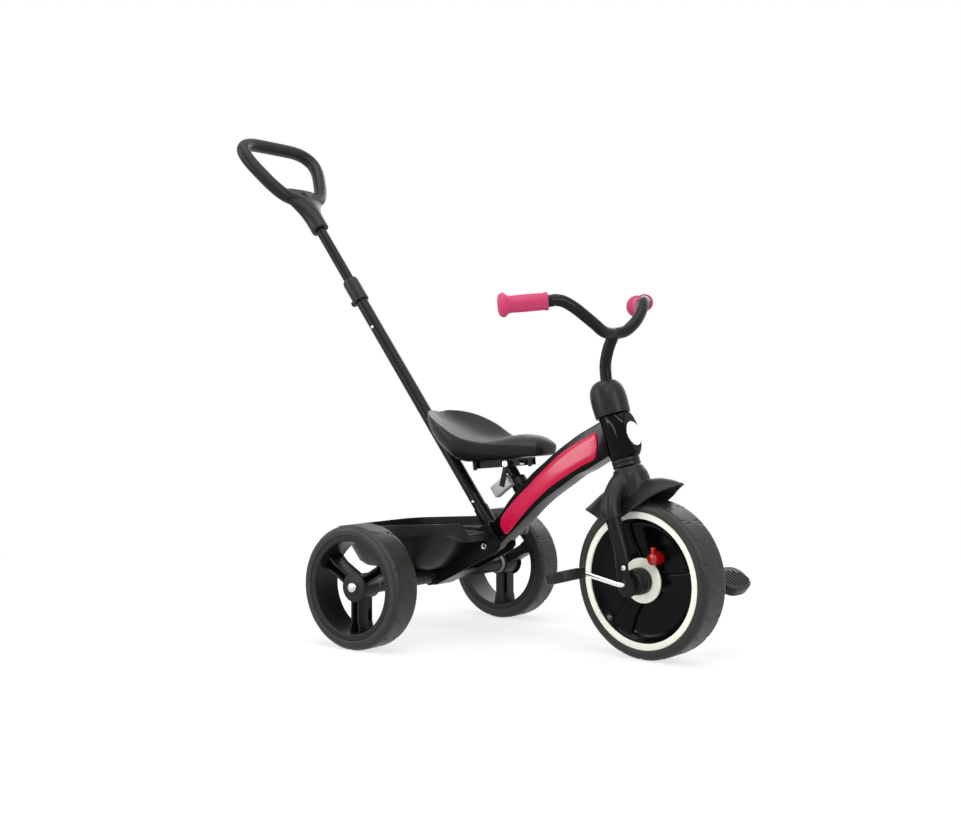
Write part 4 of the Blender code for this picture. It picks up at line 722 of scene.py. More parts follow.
def slab(
    outline: Sequence[Point], thickness: float, place: Matrix, edge: float = 0.0, segments: int = 4
) -> bmesh.types.BMesh:
    """Extrudes a flat outline to both sides and rounds its rims.

    Args:
        outline: The outline's points.
        thickness: Its thickness.
        place: Brings the outline's plane to its place.
        edge: Rounding of its rims.
        segments: Steps in that rounding.

    Returns:
        The closed shape.
    """
    shape = bmesh.new()
    base = shape.faces.new([shape.verts.new((u, v, -thickness / 2)) for u, v in outline])
    made = bmesh.ops.extrude_face_region(shape, geom=[base])["geom"]
    lifted = [item for item in made if isinstance(item, bmesh.types.BMVert)]
    bmesh.ops.translate(shape, verts=lifted, vec=(0, 0, thickness))
    bmesh.ops.recalc_face_normals(shape, faces=shape.faces)
    if edge:
        rims = [item for item in shape.edges if abs(item.verts[0].co.z - item.verts[1].co.z) < WELD]
        bevelled(shape, rims, edge, segments)
    shape.transform(place)
    return shape


def bevelled(
    shape: bmesh.types.BMesh, edges: list[bmesh.types.BMEdge], width: float, segments: int
) -> None:
    """Rounds some edges of a shape.

    Args:
        shape: The shape.
        edges: The edges.
        width: How far the rounding reaches.
        segments: Steps in it.
    """
    bmesh.ops.bevel(
        shape,
        geom=edges,
        offset=width,
        segments=segments,
        profile=0.5,
        affect="EDGES",
        clamp_overlap=True,
        material=-1,
    )


def block(size: Point, place: Matrix, edge: float, segments: int = 3) -> bmesh.types.BMesh:
    """A box with rounded edges.

    Args:
        size: Its three sides.
        place: Brings the box from the origin to its place.
        edge: Rounding of its edges.
        segments: Steps in that rounding.

    Returns:
        The closed shape.
    """
    shape = bmesh.new()
    bmesh.ops.create_cube(shape, size=1, matrix=Matrix.Diagonal((*size, 1)))
    bevelled(shape, list(shape.edges), edge, segments)
    shape.transform(place)
    return shape


def solid_of(name: str, *shapes: bmesh.types.BMesh, place: Matrix | None = None) -> bpy.types.Object:
    """Makes one object of closed shapes, smooth but for its real edges.

    Args:
        name: The object's name.
        shapes: The closed shapes that it is made of.
        place: A last transform of its mesh.

    Returns:
        The object, at the origin.
    """
    whole = bmesh.new()
    for shape in shapes:
        bmesh.ops.remove_doubles(shape, verts=shape.verts, dist=WELD)
        bmesh.ops.recalc_face_normals(shape, faces=shape.faces)
        part = bpy.data.meshes.new(name)
        shape.to_mesh(part)
        shape.free()
        whole.from_mesh(part)
        bpy.data.meshes.remove(part)
    if place is not None:
        whole.transform(place)
    mesh = bpy.data.meshes.new(name)
    whole.to_mesh(mesh)
    whole.free()
    smooth(mesh)
    piece = bpy.data.objects.new(name, mesh)
    bpy.context.scene.collection.objects.link(piece)
    return piece


def plug(
    name: str, radius: float, top: float, foot: float, place: Matrix, steps: int = ROUND
) -> bpy.types.Object:
    """A plain cylinder that cuts a hole, from its top down to its foot along a matrix's Z."""
    return solid_of(name, turned(((0, top), (radius, top), (radius, foot), (0, foot)), place, steps))


def smooth(mesh: bpy.types.Mesh) -> None:
    """Shades a mesh smooth and keeps its real edges sharp."""
    mesh.shade_smooth()
    mesh.set_sharp_from_angle(angle=SMOOTH_ANGLE)


def settled(piece: bpy.types.Object) -> None:
    """Applies a piece's modifiers to its mesh."""
    graph = bpy.context.evaluated_depsgraph_get()
    mesh = bpy.data.meshes.new_from_object(piece.evaluated_get(graph))
    piece.modifiers.clear()
    old = piece.data
    piece.data = mesh
    bpy.data.meshes.remove(old)
    smooth(mesh)


def carved(piece: bpy.types.Object, *cutters: bpy.types.Object) -> None:
    """Cuts other solids from a piece and removes them."""
    for cutter in cutters:
        step = piece.modifiers.new(cutter.name, "BOOLEAN")
        step.operation = "DIFFERENCE"
        step.object = cutter
    settled(piece)
    for cutter in cutters:
        bpy.data.objects.remove(cutter, do_unlink=True)


def joined(piece: bpy.types.Object, other: bpy.types.Object) -> None:
    """Runs another solid into a piece and removes it."""
    step = piece.modifiers.new(other.name, "BOOLEAN")
    step.operation = "UNION"
    step.object = other
    settled(piece)
    bpy.data.objects.remove(other, do_unlink=True)


def melded(piece: bpy.types.Object, voxel: float, passes: int) -> None:
    """Runs a piece's overlapping shapes together, as one moulding with soft inner corners.

    Args:
        piece: The piece.
        voxel: How fine the new skin is.
        passes: How often it is smoothed.
    """
    remesh = piece.modifiers.new("Meld", "REMESH")
    remesh.mode = "VOXEL"
    remesh.voxel_size = voxel
    soften = piece.modifiers.new("Soften", "SMOOTH")
    soften.factor = 0.5
    soften.iterations = passes
    settled(piece)


def subdivided(piece: bpy.types.Object, levels: int) -> None:
    """Rounds a piece by subdivision."""
    step = piece.modifiers.new("Round", "SUBSURF")
    step.levels = levels
    step.render_levels = levels
    settled(piece)


class Bench:
    """Holds the frame, its bodies and the finishes, and shows each piece."""

    def __init__(self, frame: dict[str, Any]) -> None:
        """Reads which body carries each node, and makes the finishes."""
        self.nodes: dict[str, bpy.types.Object] = frame["nodes"]
        record = frame["record"]
        self.body_of = {
            node: body for body, nodes in record["behaviour"]["bodies"].items() for node in nodes
        }
        self.slot_of = {row["node"]: Slot(row["material_slot"]) for row in record["subparts"]}
        self.skins = {finish.slot: finish.make() for finish in FINISHES}
        self.shown: set[str] = set()

    def show(self, piece: bpy.types.Object, node: str, *more: str) -> None:
        """Puts a piece in a node's stead, in that node's finish.

        Args:
            piece: The new piece.
            node: The node whose body carries it.
            more: Other nodes that it stands for.
        """
        self.add(piece, node)
        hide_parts(node, *more)
        self.shown.update((node, *more))

    def add(self, piece: bpy.types.Object, node: str, slot: Slot | None = None) -> None:
        """Adds a piece beside a node, on the same body."""
        slot = slot or self.slot_of[node]
        piece.data.materials.clear()
        piece.data.materials.append(self.skins[slot])
        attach(piece, self.body_of[node])
        LOG.info("%s: %d faces", piece.name, len(piece.data.polygons))

    def turn(
        self, name: str, node: str, profile: Sequence[Point], place: Matrix, steps: int = ROUND
    ) -> None:
        """Spins a profile about a matrix's Z, and shows it in a node's stead.

        Args:
            name: The piece's name.
            node: The node.
            profile: The profile, as turned takes it.
            place: Brings Z to the piece's axis.
            steps: Steps round it.
        """
        self.show(solid_of(name, turned(profile, place, steps)), node)

    def refine(self, node: str, edge: float = 0.0004) -> None:
        """Replaces a node by its own shape, welded and with its edges eased.

        Args:
            node: The node.
            edge: Rounding of its edges.
        """
        shape = bmesh.new()
        shape.from_mesh(self.nodes[node].data)
        bmesh.ops.remove_doubles(shape, verts=shape.verts, dist=WELD * 5)
        flats = [item for item in shape.edges if item.is_manifold and item.calc_face_angle() < 0.002]
        bmesh.ops.dissolve_edges(shape, edges=flats, use_verts=False)
        mesh = bpy.data.meshes.new(node + "_eased")
        shape.to_mesh(mesh)
        shape.free()
        smooth(mesh)
        piece = bpy.data.objects.new(node + "_eased", mesh)
        bpy.context.scene.collection.objects.link(piece)
        ease = piece.modifiers.new("Ease", "BEVEL")
        ease.width = edge
        ease.segments = 2
        ease.limit_method = "ANGLE"
        ease.angle_limit = SMOOTH_ANGLE
        ease.use_clamp_overlap = True
        self.show(piece, node)

    def finish_rest(self) -> None:
        """Gives each node that still shows its own finish."""
        for node, obj in self.nodes.items():
            if node not in self.shown:
                obj.data.materials.clear()
                obj.data.materials.append(self.skins[self.slot_of[node]])
                LOG.info("%s keeps its own solid", node)


@dataclass
class Tyre:
    """A foam tyre with grooved shoulders and broad tread blocks.

    Attributes:
        radius: Its outer radius.
        width: Its width.
        bore: Radius of its seat on the rim.
        shoulder: Rounding of its shoulders.
        blocks: Tread blocks on each side.
        groove_depth: Depth of the grooves between them.
        groove_half: Half the width of a groove.
        pillow: How far a block falls off towards its grooves.
        wave: How strongly a groove slants towards the middle.
        crown_share: Share of the half width over which the middle stays smooth.
        wall_share: Share of the half width at which the grooves have run out.
        steps: Steps round it.
    """

    radius: float
    width: float
    bore: float
    shoulder: float = 0.0095
    blocks: int = 20
    groove_depth: float = 0.0017
    groove_half: float = 0.0021
    pillow: float = 0.0003
    wave: float = 0.075
    crown_share: float = 0.22
    wall_share: float = 0.92
    steps: int = 720

    def profile(self) -> list[tuple[float, ...]]:
        """Cross-section, finer where the grooves run."""
        half, drop = self.width / 2, self.shoulder
        outer = [
            (self.bore, half - 0.0006, 0.0003),
            (self.bore + 0.0012, half, 0.0008),
            (self.radius - drop * 1.15, half, 0.003),
        ]
        turns = [math.radians(90 * step / 8) for step in range(9)]
        corner = [
            (self.radius - drop + drop * math.sin(turn), half - drop + drop * math.cos(turn))
            for turn in turns
        ]
        tread = [(self.radius, half - drop - (half - drop) * share) for share in (0.33, 0.66)]
        right = outer + corner + tread
        left = [(entry[0], -entry[1], *entry[2:]) for entry in reversed(right)]
        return right + [(self.radius, 0.0)] + left

    def depth_at(self, angle: float, height: float, radius: float) -> float:
        """How deep the tread is cut at a place of the surface.

        Args:
            angle: The place's angle round the tyre.
            height: Its distance from the tyre's middle plane.
            radius: Its distance from the tyre's axis.

        Returns:
            The depth.
        """
        half = self.width / 2
        out = abs(height) / half
        low = self.radius - self.shoulder * 1.25
        if radius < low or out < self.crown_share:
            return 0.0
        bend = self.wave * max(0.0, 1 - out) ** 1.5 * (3 if height > 0 else -3)
        step = 2 * math.pi / self.blocks
        offset = (angle + bend + (0 if height > 0 else step / 2)) % step
        miss = min(offset, step - offset)
        ends = (out - self.crown_share) / 0.25, max(0.0, self.wall_share - out) / 0.14
        fade = min(1.0, *ends, (radius - low) / 0.0015)
        groove = self.groove_depth * max(0.0, 1 - (miss * radius / self.groove_half) ** 2) ** 1.3
        return fade * (groove + self.pillow * (1 - 2 * miss / step) ** 2)

    def shape(self, place: Matrix) -> bmesh.types.BMesh:
        """Spins the tyre and cuts its grooves."""
        shape = turned(self.profile(), Matrix(), self.steps)
        for vert in shape.verts:
            radius = math.hypot(vert.co.x, vert.co.y)
            depth = self.depth_at(math.atan2(vert.co.y, vert.co.x), vert.co.z, radius)
            if depth:
                inward = Vector((-vert.co.x / radius, -vert.co.y / radius, 0))
                side = Vector((0, 0, -math.copysign(1, vert.co.z)))
                lean = max(0.0, (self.radius - radius) / self.shoulder)
                vert.co += (inward * (1 - lean * 0.6) + side * lean).normalized() * depth
        shape.transform(place)
        return shape


@dataclass
class RearWheel:
    """One rear wheel on the fixed axle."""

    layout: Layout
    side: Side
    middle: float = 0.20425
    radius: float = 0.1017
    width: float = 0.0567
    rim_radius: float = 0.0854
    opening: float = 0.0750
    hub_radius: float = 0.0205
    hub_bore: float = 0.0173
    hub_foot: float = -0.026
    face: float = 0.0138
    spoke_angles: tuple[int, ...] = (-90, 30, 150)
    spoke: tuple[tuple[float, float], ...] = (
        (0.0185, 0.0088),
        (0.056, 0.0088),
        (0.066, 0.0113),
        (0.0765, 0.0122),
    )
    spoke_wall: float = 0.0038

    @property
    def place(self) -> Matrix:
        """The hub, with Z out."""
        centre = (0, self.side.value * self.middle, self.radius)
        return self.layout.fixed @ outward(centre, self.side)

    def rim(self) -> bpy.types.Object:
        """Open rim with three channelled spokes."""
        half = self.width / 2 - 0.0010
        ring = (
            (self.rim_radius, half, 0.001),
            (self.rim_radius, -half),
            (self.opening, -half, 0.001),
            (self.opening + 0.0004, 0.0),
            (self.opening, half, 0.0025),
        )
        hub = (
            (self.hub_radius, self.face, 0.001),
            (self.hub_radius, self.hub_foot, 0.001),
            (self.hub_bore, self.hub_foot),
            (self.hub_bore, self.face),
        )
        shapes = (turned(ring, Matrix(), RIM_ROUND), turned(hub, Matrix()), *self.spokes())
        rim = solid_of("rear_wheel_" + self.side.label, *shapes)
        rim.data.transform(self.place)
        return rim

    def spokes(self) -> list[bmesh.types.BMesh]:
        """Each spoke is a channel: a floor and two walls that open out at the rim."""
        shapes = []
        for angle in self.spoke_angles:
            turn = Matrix.Rotation(math.radians(angle), 4, "Z")
            outline = [(x, -y) for x, y in self.spoke] + [(x, y) for x, y in reversed(self.spoke)]
            shapes.append(slab(outline, 0.0120, turn @ Matrix.Translation((0, 0, -0.014)), 0.0012))
            for sign in (-1, 1):
                wall = [(x, y * sign) for x, y in self.spoke]
                wall += [(x, (y - self.spoke_wall) * sign) for x, y in reversed(self.spoke)]
                lift = Matrix.Translation((0, 0, -0.0025))
                shapes.append(slab(wall, 0.0322, turn @ lift, 0.0011))
        return shapes

    def build(self, bench: Bench) -> None:
        """Builds the wheel's pieces and its nut."""
        label = self.side.label
        tyre = Tyre(self.radius, self.width, self.rim_radius + 0.0003, blocks=16)
        bench.show(solid_of("tyre_rear_" + label, tyre.shape(self.place)), "rear_tyre_" + label)
        bench.show(self.rim(), "rear_rim_" + label)
        foot = self.face + 0.0003
        cap = (
            (0.0092, foot + 0.0034),
            (0.0092, foot + 0.0056, 0.0008),
            (0.0115, foot + 0.0056, 0.001),
            (0.0130, foot + 0.0040, 0.001),
            (0.0225, foot + 0.0032, 0.0015),
            (0.0246, foot + 0.0018, 0.0012),
            (0.0246, foot),
            (0.0056, foot),
            (0.0056, foot + 0.0034),
        )
        bench.turn("hub_cap_" + label, "rear_hub_cap_" + label, cap, self.place)
        bush = (
            (0.0170, self.face),
            (0.0170, -0.0300, 0.0008),
            (0.0158, -0.0315, 0.0005),
            (AXLE_BORE, -0.0315),
            (AXLE_BORE, self.face),
        )
        bench.turn("wheel_bush_" + label, "rear_wheel_bush_" + label, bush, self.place)
        base = foot + 0.0044
        nut = (
            (AXLE_BORE, base),
            (0.0089, base, 0.0004),
            (0.0089, base + 0.0018, 0.002),
            (0.0070, base + 0.0055, 0.003),
            (0.0, base + 0.0069),
            (0.0, base + 0.0050),
            (AXLE_BORE, base + 0.0050),
        )
        bench.turn("axle_cap_nut_" + label, "rear_axle_nut_" + label, nut, self.place, BORE_ROUND)


@dataclass
class RearFrame:
    """Axle housing, bracket, basket and fold pin."""

    layout: Layout
    axle_height: float = 0.1017
    housing_radius: float = 0.0148
    housing_half: float = 0.1720

    def build(self, bench: Bench) -> None:
        """Builds the housing and the pin, and eases the bracket and the basket."""
        half = self.housing_half
        middle = self.layout.fixed @ outward((0, 0, self.axle_height), Side.RIGHT)
        housing = (
            (self.housing_radius, half, 0.001),
            (self.housing_radius, -half, 0.001),
            (AXLE_BORE, -half),
            (AXLE_BORE, half),
        )
        bench.turn("axle_tube", "axle_housing", housing, middle)
        pin = self.layout.fixed @ outward(self.layout.fold_pin, Side.RIGHT)
        rivet = (
            (0.0020, 0.0246, 0.0004),
            (0.0052, 0.0249, 0.0008),
            (0.0052, 0.0234),
            (0.0035, 0.0234),
            (0.0035, -0.0234),
            (0.0052, -0.0234),
            (0.0052, -0.0249, 0.0008),
            (0.0020, -0.0246, 0.0004),
        )
        bench.turn("hollow_rivet", "fold_pin", rivet, pin, SMALL_ROUND)
        bench.refine("rear_bracket", 0.0006)
        bench.refine("basket", 0.0010)


@dataclass
class PushBar:
    """Push bar with its collar, handle and small buttons."""

    layout: Layout
    lower_radius: float = 0.01115
    upper_radius: float = 0.00965
    bore: float = 0.0100
    pin_station: float = 0.3780
    pin_stops: tuple[float, ...] = (-0.06, 0.0, 0.10)
    handle_radius: float = 0.0125
    loop: tuple[tuple[float, float], ...] = (
        (0.0000, 0.8155),
        (0.0300, 0.8155),
        (0.0580, 0.8140),
        (0.0780, 0.8075),
        (0.0905, 0.7950),
        (0.0930, 0.7790),
        (0.0880, 0.7590),
        (0.0780, 0.7370),
        (0.0650, 0.7130),
        (0.0480, 0.6930),
        (0.0260, 0.6830),
        (0.0000, 0.6800),
    )
    neck: tuple[tuple[float, float, float], ...] = (
        (0.6090, 0.0165, 0.0165),
        (0.6180, 0.0168, 0.0166),
        (0.6320, 0.0172, 0.0165),
        (0.6490, 0.0225, 0.0158),
        (0.6650, 0.0340, 0.0145),
        (0.6800, 0.0470, 0.0122),
        (0.6940, 0.0535, 0.0100),
        (0.7050, 0.0500, 0.0075),
    )

    @property
    def place(self) -> Matrix:
        """Station 0, with Z up the bar and X out."""
        return self.layout.fixed @ axes(self.layout.bar_foot, self.layout.bar_out, Y_AXIS)

    def tubes(self, bench: Bench) -> None:
        """Both tubes, with the upper one's three pin holes."""
        lower, upper, bore = self.lower_radius, self.upper_radius, self.bore
        low = (
            (lower, 0.4500, 0.0004),
            (lower, -0.0150),
            (0.0128, -0.0153, 0.0006),
            (0.0128, -0.0497, 0.0006),
            (bore, -0.0497),
            (bore, 0.4500),
        )
        bench.turn("lower_tube", "push_bar_lower", low, self.place)
        high = ((upper, 0.6385), (upper, 0.2800), (0.0084, 0.2800), (0.0084, 0.6385))
        tube = solid_of("upper_tube", turned(high, self.place))
        holes = []
        for stop in self.pin_stops:
            middle = self.layout.fixed @ upright(self.layout.on_bar(self.pin_station + stop), -Y_AXIS)
            holes.append(plug("pin_hole", 0.0034, 0.02, 0, middle, PIN_ROUND))
        carved(tube, *holes)
        bench.show(tube, "push_bar_upper")

    def collar(self, bench: Bench) -> None:
        """The collar between the tubes, with its boss and the knob in it."""
        bore, wide_bore = self.bore, 0.01145
        sleeve = (
            (0.0120, 0.4880, 0.0006),
            (0.0136, 0.4862, 0.0012),
            (0.0148, 0.4820, 0.002),
            (0.0148, 0.4400, 0.001),
            (0.0138, 0.4380, 0.0006),
            (wide_bore, 0.4380),
            (wide_bore, 0.4503),
            (bore, 0.4503),
            (bore, 0.4880),
        )
        seat = self.layout.fixed @ upright(self.layout.on_bar(0.4460, out=-0.0120), -self.layout.bar_out)
        boss = (
            (0.0, 0.0),
            (0.0058, 0.0),
            (0.0058, 0.0075, 0.0008),
            (0.0043, 0.0075),
            (0.0043, 0.0030),
            (0.0, 0.0030),
        )
        collar = (turned(sleeve, self.place), turned(boss, seat, SMALL_ROUND))
        bench.show(solid_of("collar_sleeve", *collar), "push_bar_collar")
        knob = ((0, 0.0050), (0.0040, 0.0050), (0.0036, 0.0095, 0.0012), (0, 0.0095))
        bench.turn("collar_knob", "collar_button", knob, seat, SMALL_ROUND)

    def pins(self, bench: Bench) -> None:
        """Sprung pins on the lower tube's right side."""
        pin = ((0, 0), (0.0030, 0), (0.0029, 0.0045, 0.0014), (0, 0.0046))
        for node, station in (("release_button", -0.0030), ("length_pin", self.pin_station)):
            foot = self.layout.on_bar(station, across=-0.0090)
            bench.turn(node + "_dome", node, pin, self.layout.fixed @ upright(foot, -Y_AXIS), PIN_ROUND)

    def handle(self, bench: Bench) -> None:
        """Loop handle, melded with its webbed neck, and its thumb button."""
        other = [(-across, station) for across, station in reversed(self.loop[1:-1])]
        spots = [self.layout.on_bar(station, across) for across, station in [*self.loop, *other]]
        route = smooth_route(spots, 6, loop=True)
        ring = swept(route, self.handle_radius, 32, loop=True)
        stations = smooth_route(self.neck, 4)
        out = self.layout.bar_out
        rings = [
            ellipse(self.layout.on_bar(station), Y_AXIS * wide, out * deep, 48)
            for station, wide, deep in stations
        ]
        handle = solid_of("loop_handle", ring, skinned(rings), place=self.layout.fixed)
        melded(handle, 0.0013, 8)
        bore = plug("handle_bore", self.bore, 0.6390, 0.5900, self.place)
        seat = self.layout.fixed @ upright(self.layout.on_bar(0.6900, out=0.0050), out)
        well = turned(((0, 0.03), (0.0069, 0.03), (0.0068, 0.0), (0, 0.0)), seat)
        carved(handle, bore, solid_of("thumb_well", well))
        bench.show(handle, "push_handle")
        button = ((0, 0.0020), (0.0065, 0.0020), (0.0060, 0.0075, 0.002), (0, 0.0078))
        bench.turn("thumb_button", "handle_button", button, seat)

    def build(self, bench: Bench) -> None:
        """Builds the whole push bar."""
        self.tubes(bench)
        self.collar(bench)
        self.pins(bench)
        self.handle(bench)


@dataclass
class Beam:
    """Moulded beam with its side panels, head tube, badge and clamp collar.

    Attributes:
        layout: Where the tricycle's lines lie.
        half_width: Half the beam's width.
        edge: Rounding of its edges.
        tail_radius: Radius of its tail, about the fold pin.
        head_top: Station of the head tube's top.
        head_radius: The head tube's radius at its foot.
        head_flare: How much wider it is at its top.
        head_swell: How far it swells in front, half-way up.
        badge_flat: How far in front of the axis the badge's flat lies.
        upper: The beam's upper edge, as (forward, up).
        lower: Its lower edge.
        panel_top: A side panel's upper edge.
        panel_foot: Its lower edge.
        panel_rise: How far a panel domes.
        panel_rows: Cross-sections along a panel, with its two ends.
        panel_steps: Steps across its face.
    """

    layout: Layout
    half_width: float = 0.0200
    edge: float = 0.0080
    tail_radius: float = 0.0180
    head_top: float = 0.2682
    head_radius: float = 0.0225
    head_flare: float = 0.0020
    head_swell: float = 0.0145
    badge_flat: float = 0.0270
    upper: tuple[tuple[float, float], ...] = (
        (0.3500, 0.3750),
        (0.3407, 0.3703),
        (0.3207, 0.3599),
        (0.3038, 0.3510),
        (0.2781, 0.3346),
        (0.2556, 0.3189),
        (0.2345, 0.3022),
        (0.2166, 0.2884),
        (0.1988, 0.2722),
        (0.1863, 0.2606),
        (0.1716, 0.2443),
        (0.1626, 0.2342),
        (0.1496, 0.2171),
        (0.1367, 0.2045),
    )
    lower: tuple[tuple[float, float], ...] = (
        (0.1388, 0.1552),
        (0.1574, 0.1730),
        (0.1757, 0.1892),
        (0.1976, 0.2093),
        (0.2121, 0.2235),
        (0.2300, 0.2385),
        (0.2476, 0.2513),
        (0.2739, 0.2685),
        (0.2964, 0.2839),
        (0.3169, 0.2934),
        (0.3356, 0.3041),
        (0.3620, 0.3190),
    )
    panel_top: tuple[tuple[float, float], ...] = (
        (0.1499, 0.2008),
        (0.1536, 0.2115),
        (0.1664, 0.2271),
        (0.1846, 0.2458),
        (0.2027, 0.2613),
        (0.2205, 0.2782),
        (0.2417, 0.2965),
        (0.2627, 0.3139),
        (0.2851, 0.3289),
        (0.3073, 0.3409),
        (0.3242, 0.3491),
        (0.3376, 0.3543),
        (0.3401, 0.3338),
    )
    panel_foot: tuple[tuple[float, float], ...] = (
        (0.1499, 0.2008),
        (0.1517, 0.1919),
        (0.1628, 0.1821),
        (0.1846, 0.2042),
        (0.2027, 0.2229),
        (0.2205, 0.2400),
        (0.2470, 0.2617),
        (0.2731, 0.2787),
        (0.3073, 0.2986),
        (0.3326, 0.3108),
        (0.3376, 0.3195),
        (0.3401, 0.3338),
    )
    panel_rise: float = 0.0018
    panel_rows: int = 97
    panel_steps: int = 20

    def outline(self) -> list[tuple[float, float]]:
        """The beam's smooth outline, round its tail about the fold pin."""
        top = [tuple(point.xy) for point in smooth_route([(*p, 0) for p in self.upper], 3)]
        under = [tuple(point.xy) for point in smooth_route([(*p, 0) for p in self.lower], 3)]
        x, _, z = self.layout.fold_pin
        turns = [math.radians(angle) for angle in range(105, 271, 11)]
        tail = [(x + self.tail_radius * math.cos(a), z + self.tail_radius * math.sin(a)) for a in turns]
        return top + tail + under

    def beam(self) -> bpy.types.Object:
        """The beam, with rounded edges, its post boss and the space for the head tube."""
        lay = self.layout
        body = slab(self.outline(), 2 * self.half_width, side_plane(), self.edge, 8)
        beam = solid_of("curved_beam", body, place=lay.fixed)
        stand = lay.fixed @ lay.post_stand
        boss = turned(((0, 0), (0.0152, 0, 0.0010), (0.0152, -0.021), (0, -0.021)), stand)
        joined(beam, solid_of("post_boss", boss))
        head = plug("head_room", 0.0247, 0.32, 0.15, lay.fixed @ lay.axis_stand)
        post = plug("post_room", 0.0098, 0.03, -0.042, stand, SMALL_ROUND)
        pin_place = lay.fixed @ outward(lay.fold_pin, Side.RIGHT)
        pin = plug("pin_room", 0.0038, 0.05, -0.05, pin_place, SMALL_ROUND)
        carved(beam, head, post, pin)
        return beam

    def panel(self, side: Side) -> bpy.types.Object:
        """A side panel that domes between its two edges and thins to a rim round its ends."""
        base = self.half_width + 0.0003
        rim = base + 0.0004
        count = self.panel_rows
        top, foot = resampled(self.panel_top, count), resampled(self.panel_foot, count)
        rings = []
        for index in range(1, count - 1):
            share = index / (count - 1)
            end = min(1.0, share * 22, (1 - share) * 22) ** 0.5
            ring = [Vector((point.x, side.value * base, point.y)) for point in (foot[index], top[index])]
            for step in range(self.panel_steps + 1):
                t = 1 - step / self.panel_steps
                rise = self.panel_rise * end * (1 - abs(2 * t - 1) ** 6) ** 0.5
                point = foot[index].lerp(top[index], t)
                ring.append(Vector((point.x, side.value * (rim + rise), point.y)))
            rings.append(ring)
        return solid_of("side_panel_" + side.label, skinned(rings), place=self.layout.fixed)

    def head_ring(self, up: float, inset: float) -> list[Vector]:
        """One cross-section of the head tube, which swells in front and is flat behind the badge.

        Args:
            up: Its height over the head tube's foot.
            inset: How far it is drawn in at an end.

        Returns:
            The ring's points.
        """
        tall = self.head_top - self.layout.head_foot
        radius = self.head_radius + self.head_flare * up / tall - inset
        swell = self.head_swell * (1 - ((up - tall / 2) / (1.07 * tall / 2)) ** 2)
        ring = []
        for step in range(ROUND):
            turn = 2 * math.pi * step / ROUND
            reach = radius + swell * max(0.0, math.cos(turn)) ** 1.5
            forward = min(self.badge_flat, reach * math.cos(turn))
            ring.append(Vector((forward, reach * math.sin(turn), up)))
        return ring

    def head(self, bench: Bench) -> None:
        """Head tube with its oval swelling, the badge on it and the bearing under it."""
        start = self.layout.head_foot
        tall = self.head_top - start
        axis = self.layout.fixed @ self.layout.axis_stand
        ends = ((0.0, 0.0012), (0.0004, 0.0005), (0.0012, 0.0))
        levels = [*ends, *((tall * step / 28, 0.0) for step in range(1, 28))]
        levels += [(tall - up, inset) for up, inset in reversed(ends)]
        stand = axes(self.layout.on_axis(start), self.layout.steer_out, Y_AXIS)
        shell = skinned([self.head_ring(up, inset) for up, inset in levels])
        shell.transform(stand)
        head = solid_of("head_shell", shell, place=self.layout.fixed)
        carved(head, plug("head_hole", 0.0126, 0.32, 0.15, axis))
        bench.show(head, "head_tube")
        face = upright(self.layout.on_axis(0.2312, self.badge_flat + 0.0003), self.layout.steer_out)
        disc = (
            (0, 0),
            (0.0196, 0),
            (0.0196, 0.0013, 0.0008),
            (0.0186, 0.0018, 0.0005),
            (0.0180, 0.0015, 0.0003),
            (0, 0.0016),
        )
        bench.turn("blank_badge", "badge", disc, self.layout.fixed @ face)
        top, radius, bore = start - 0.0003, self.head_radius, 0.0123
        ring = (
            (radius, top, 0.001),
            (radius, 0.1912, 0.0004),
            (0.0213, 0.1904, 0.0004),
            (radius, 0.1896, 0.0004),
            (radius, 0.1840, 0.001),
            (bore, 0.1840),
            (bore, top),
        )
        bench.turn("bearing_ring", "lower_bearing", ring, axis)

    def build(self, bench: Bench) -> None:
        """Builds the beam and what is fixed to it."""
        bench.show(self.beam(), "main_beam")
        for side in Side:
            bench.show(self.panel(side), "beam_panel_" + side.label)
        self.head(bench)
        collar = (
            (0.0098, 0.0145),
            (0.0147, 0.0145, 0.0016),
            (0.0147, 0.0003, 0.0008),
            (0.0098, 0.0003),
        )
        stand = self.layout.fixed @ self.layout.post_stand
        bench.turn("clamp_ring", "seat_clamp_collar", collar, stand)


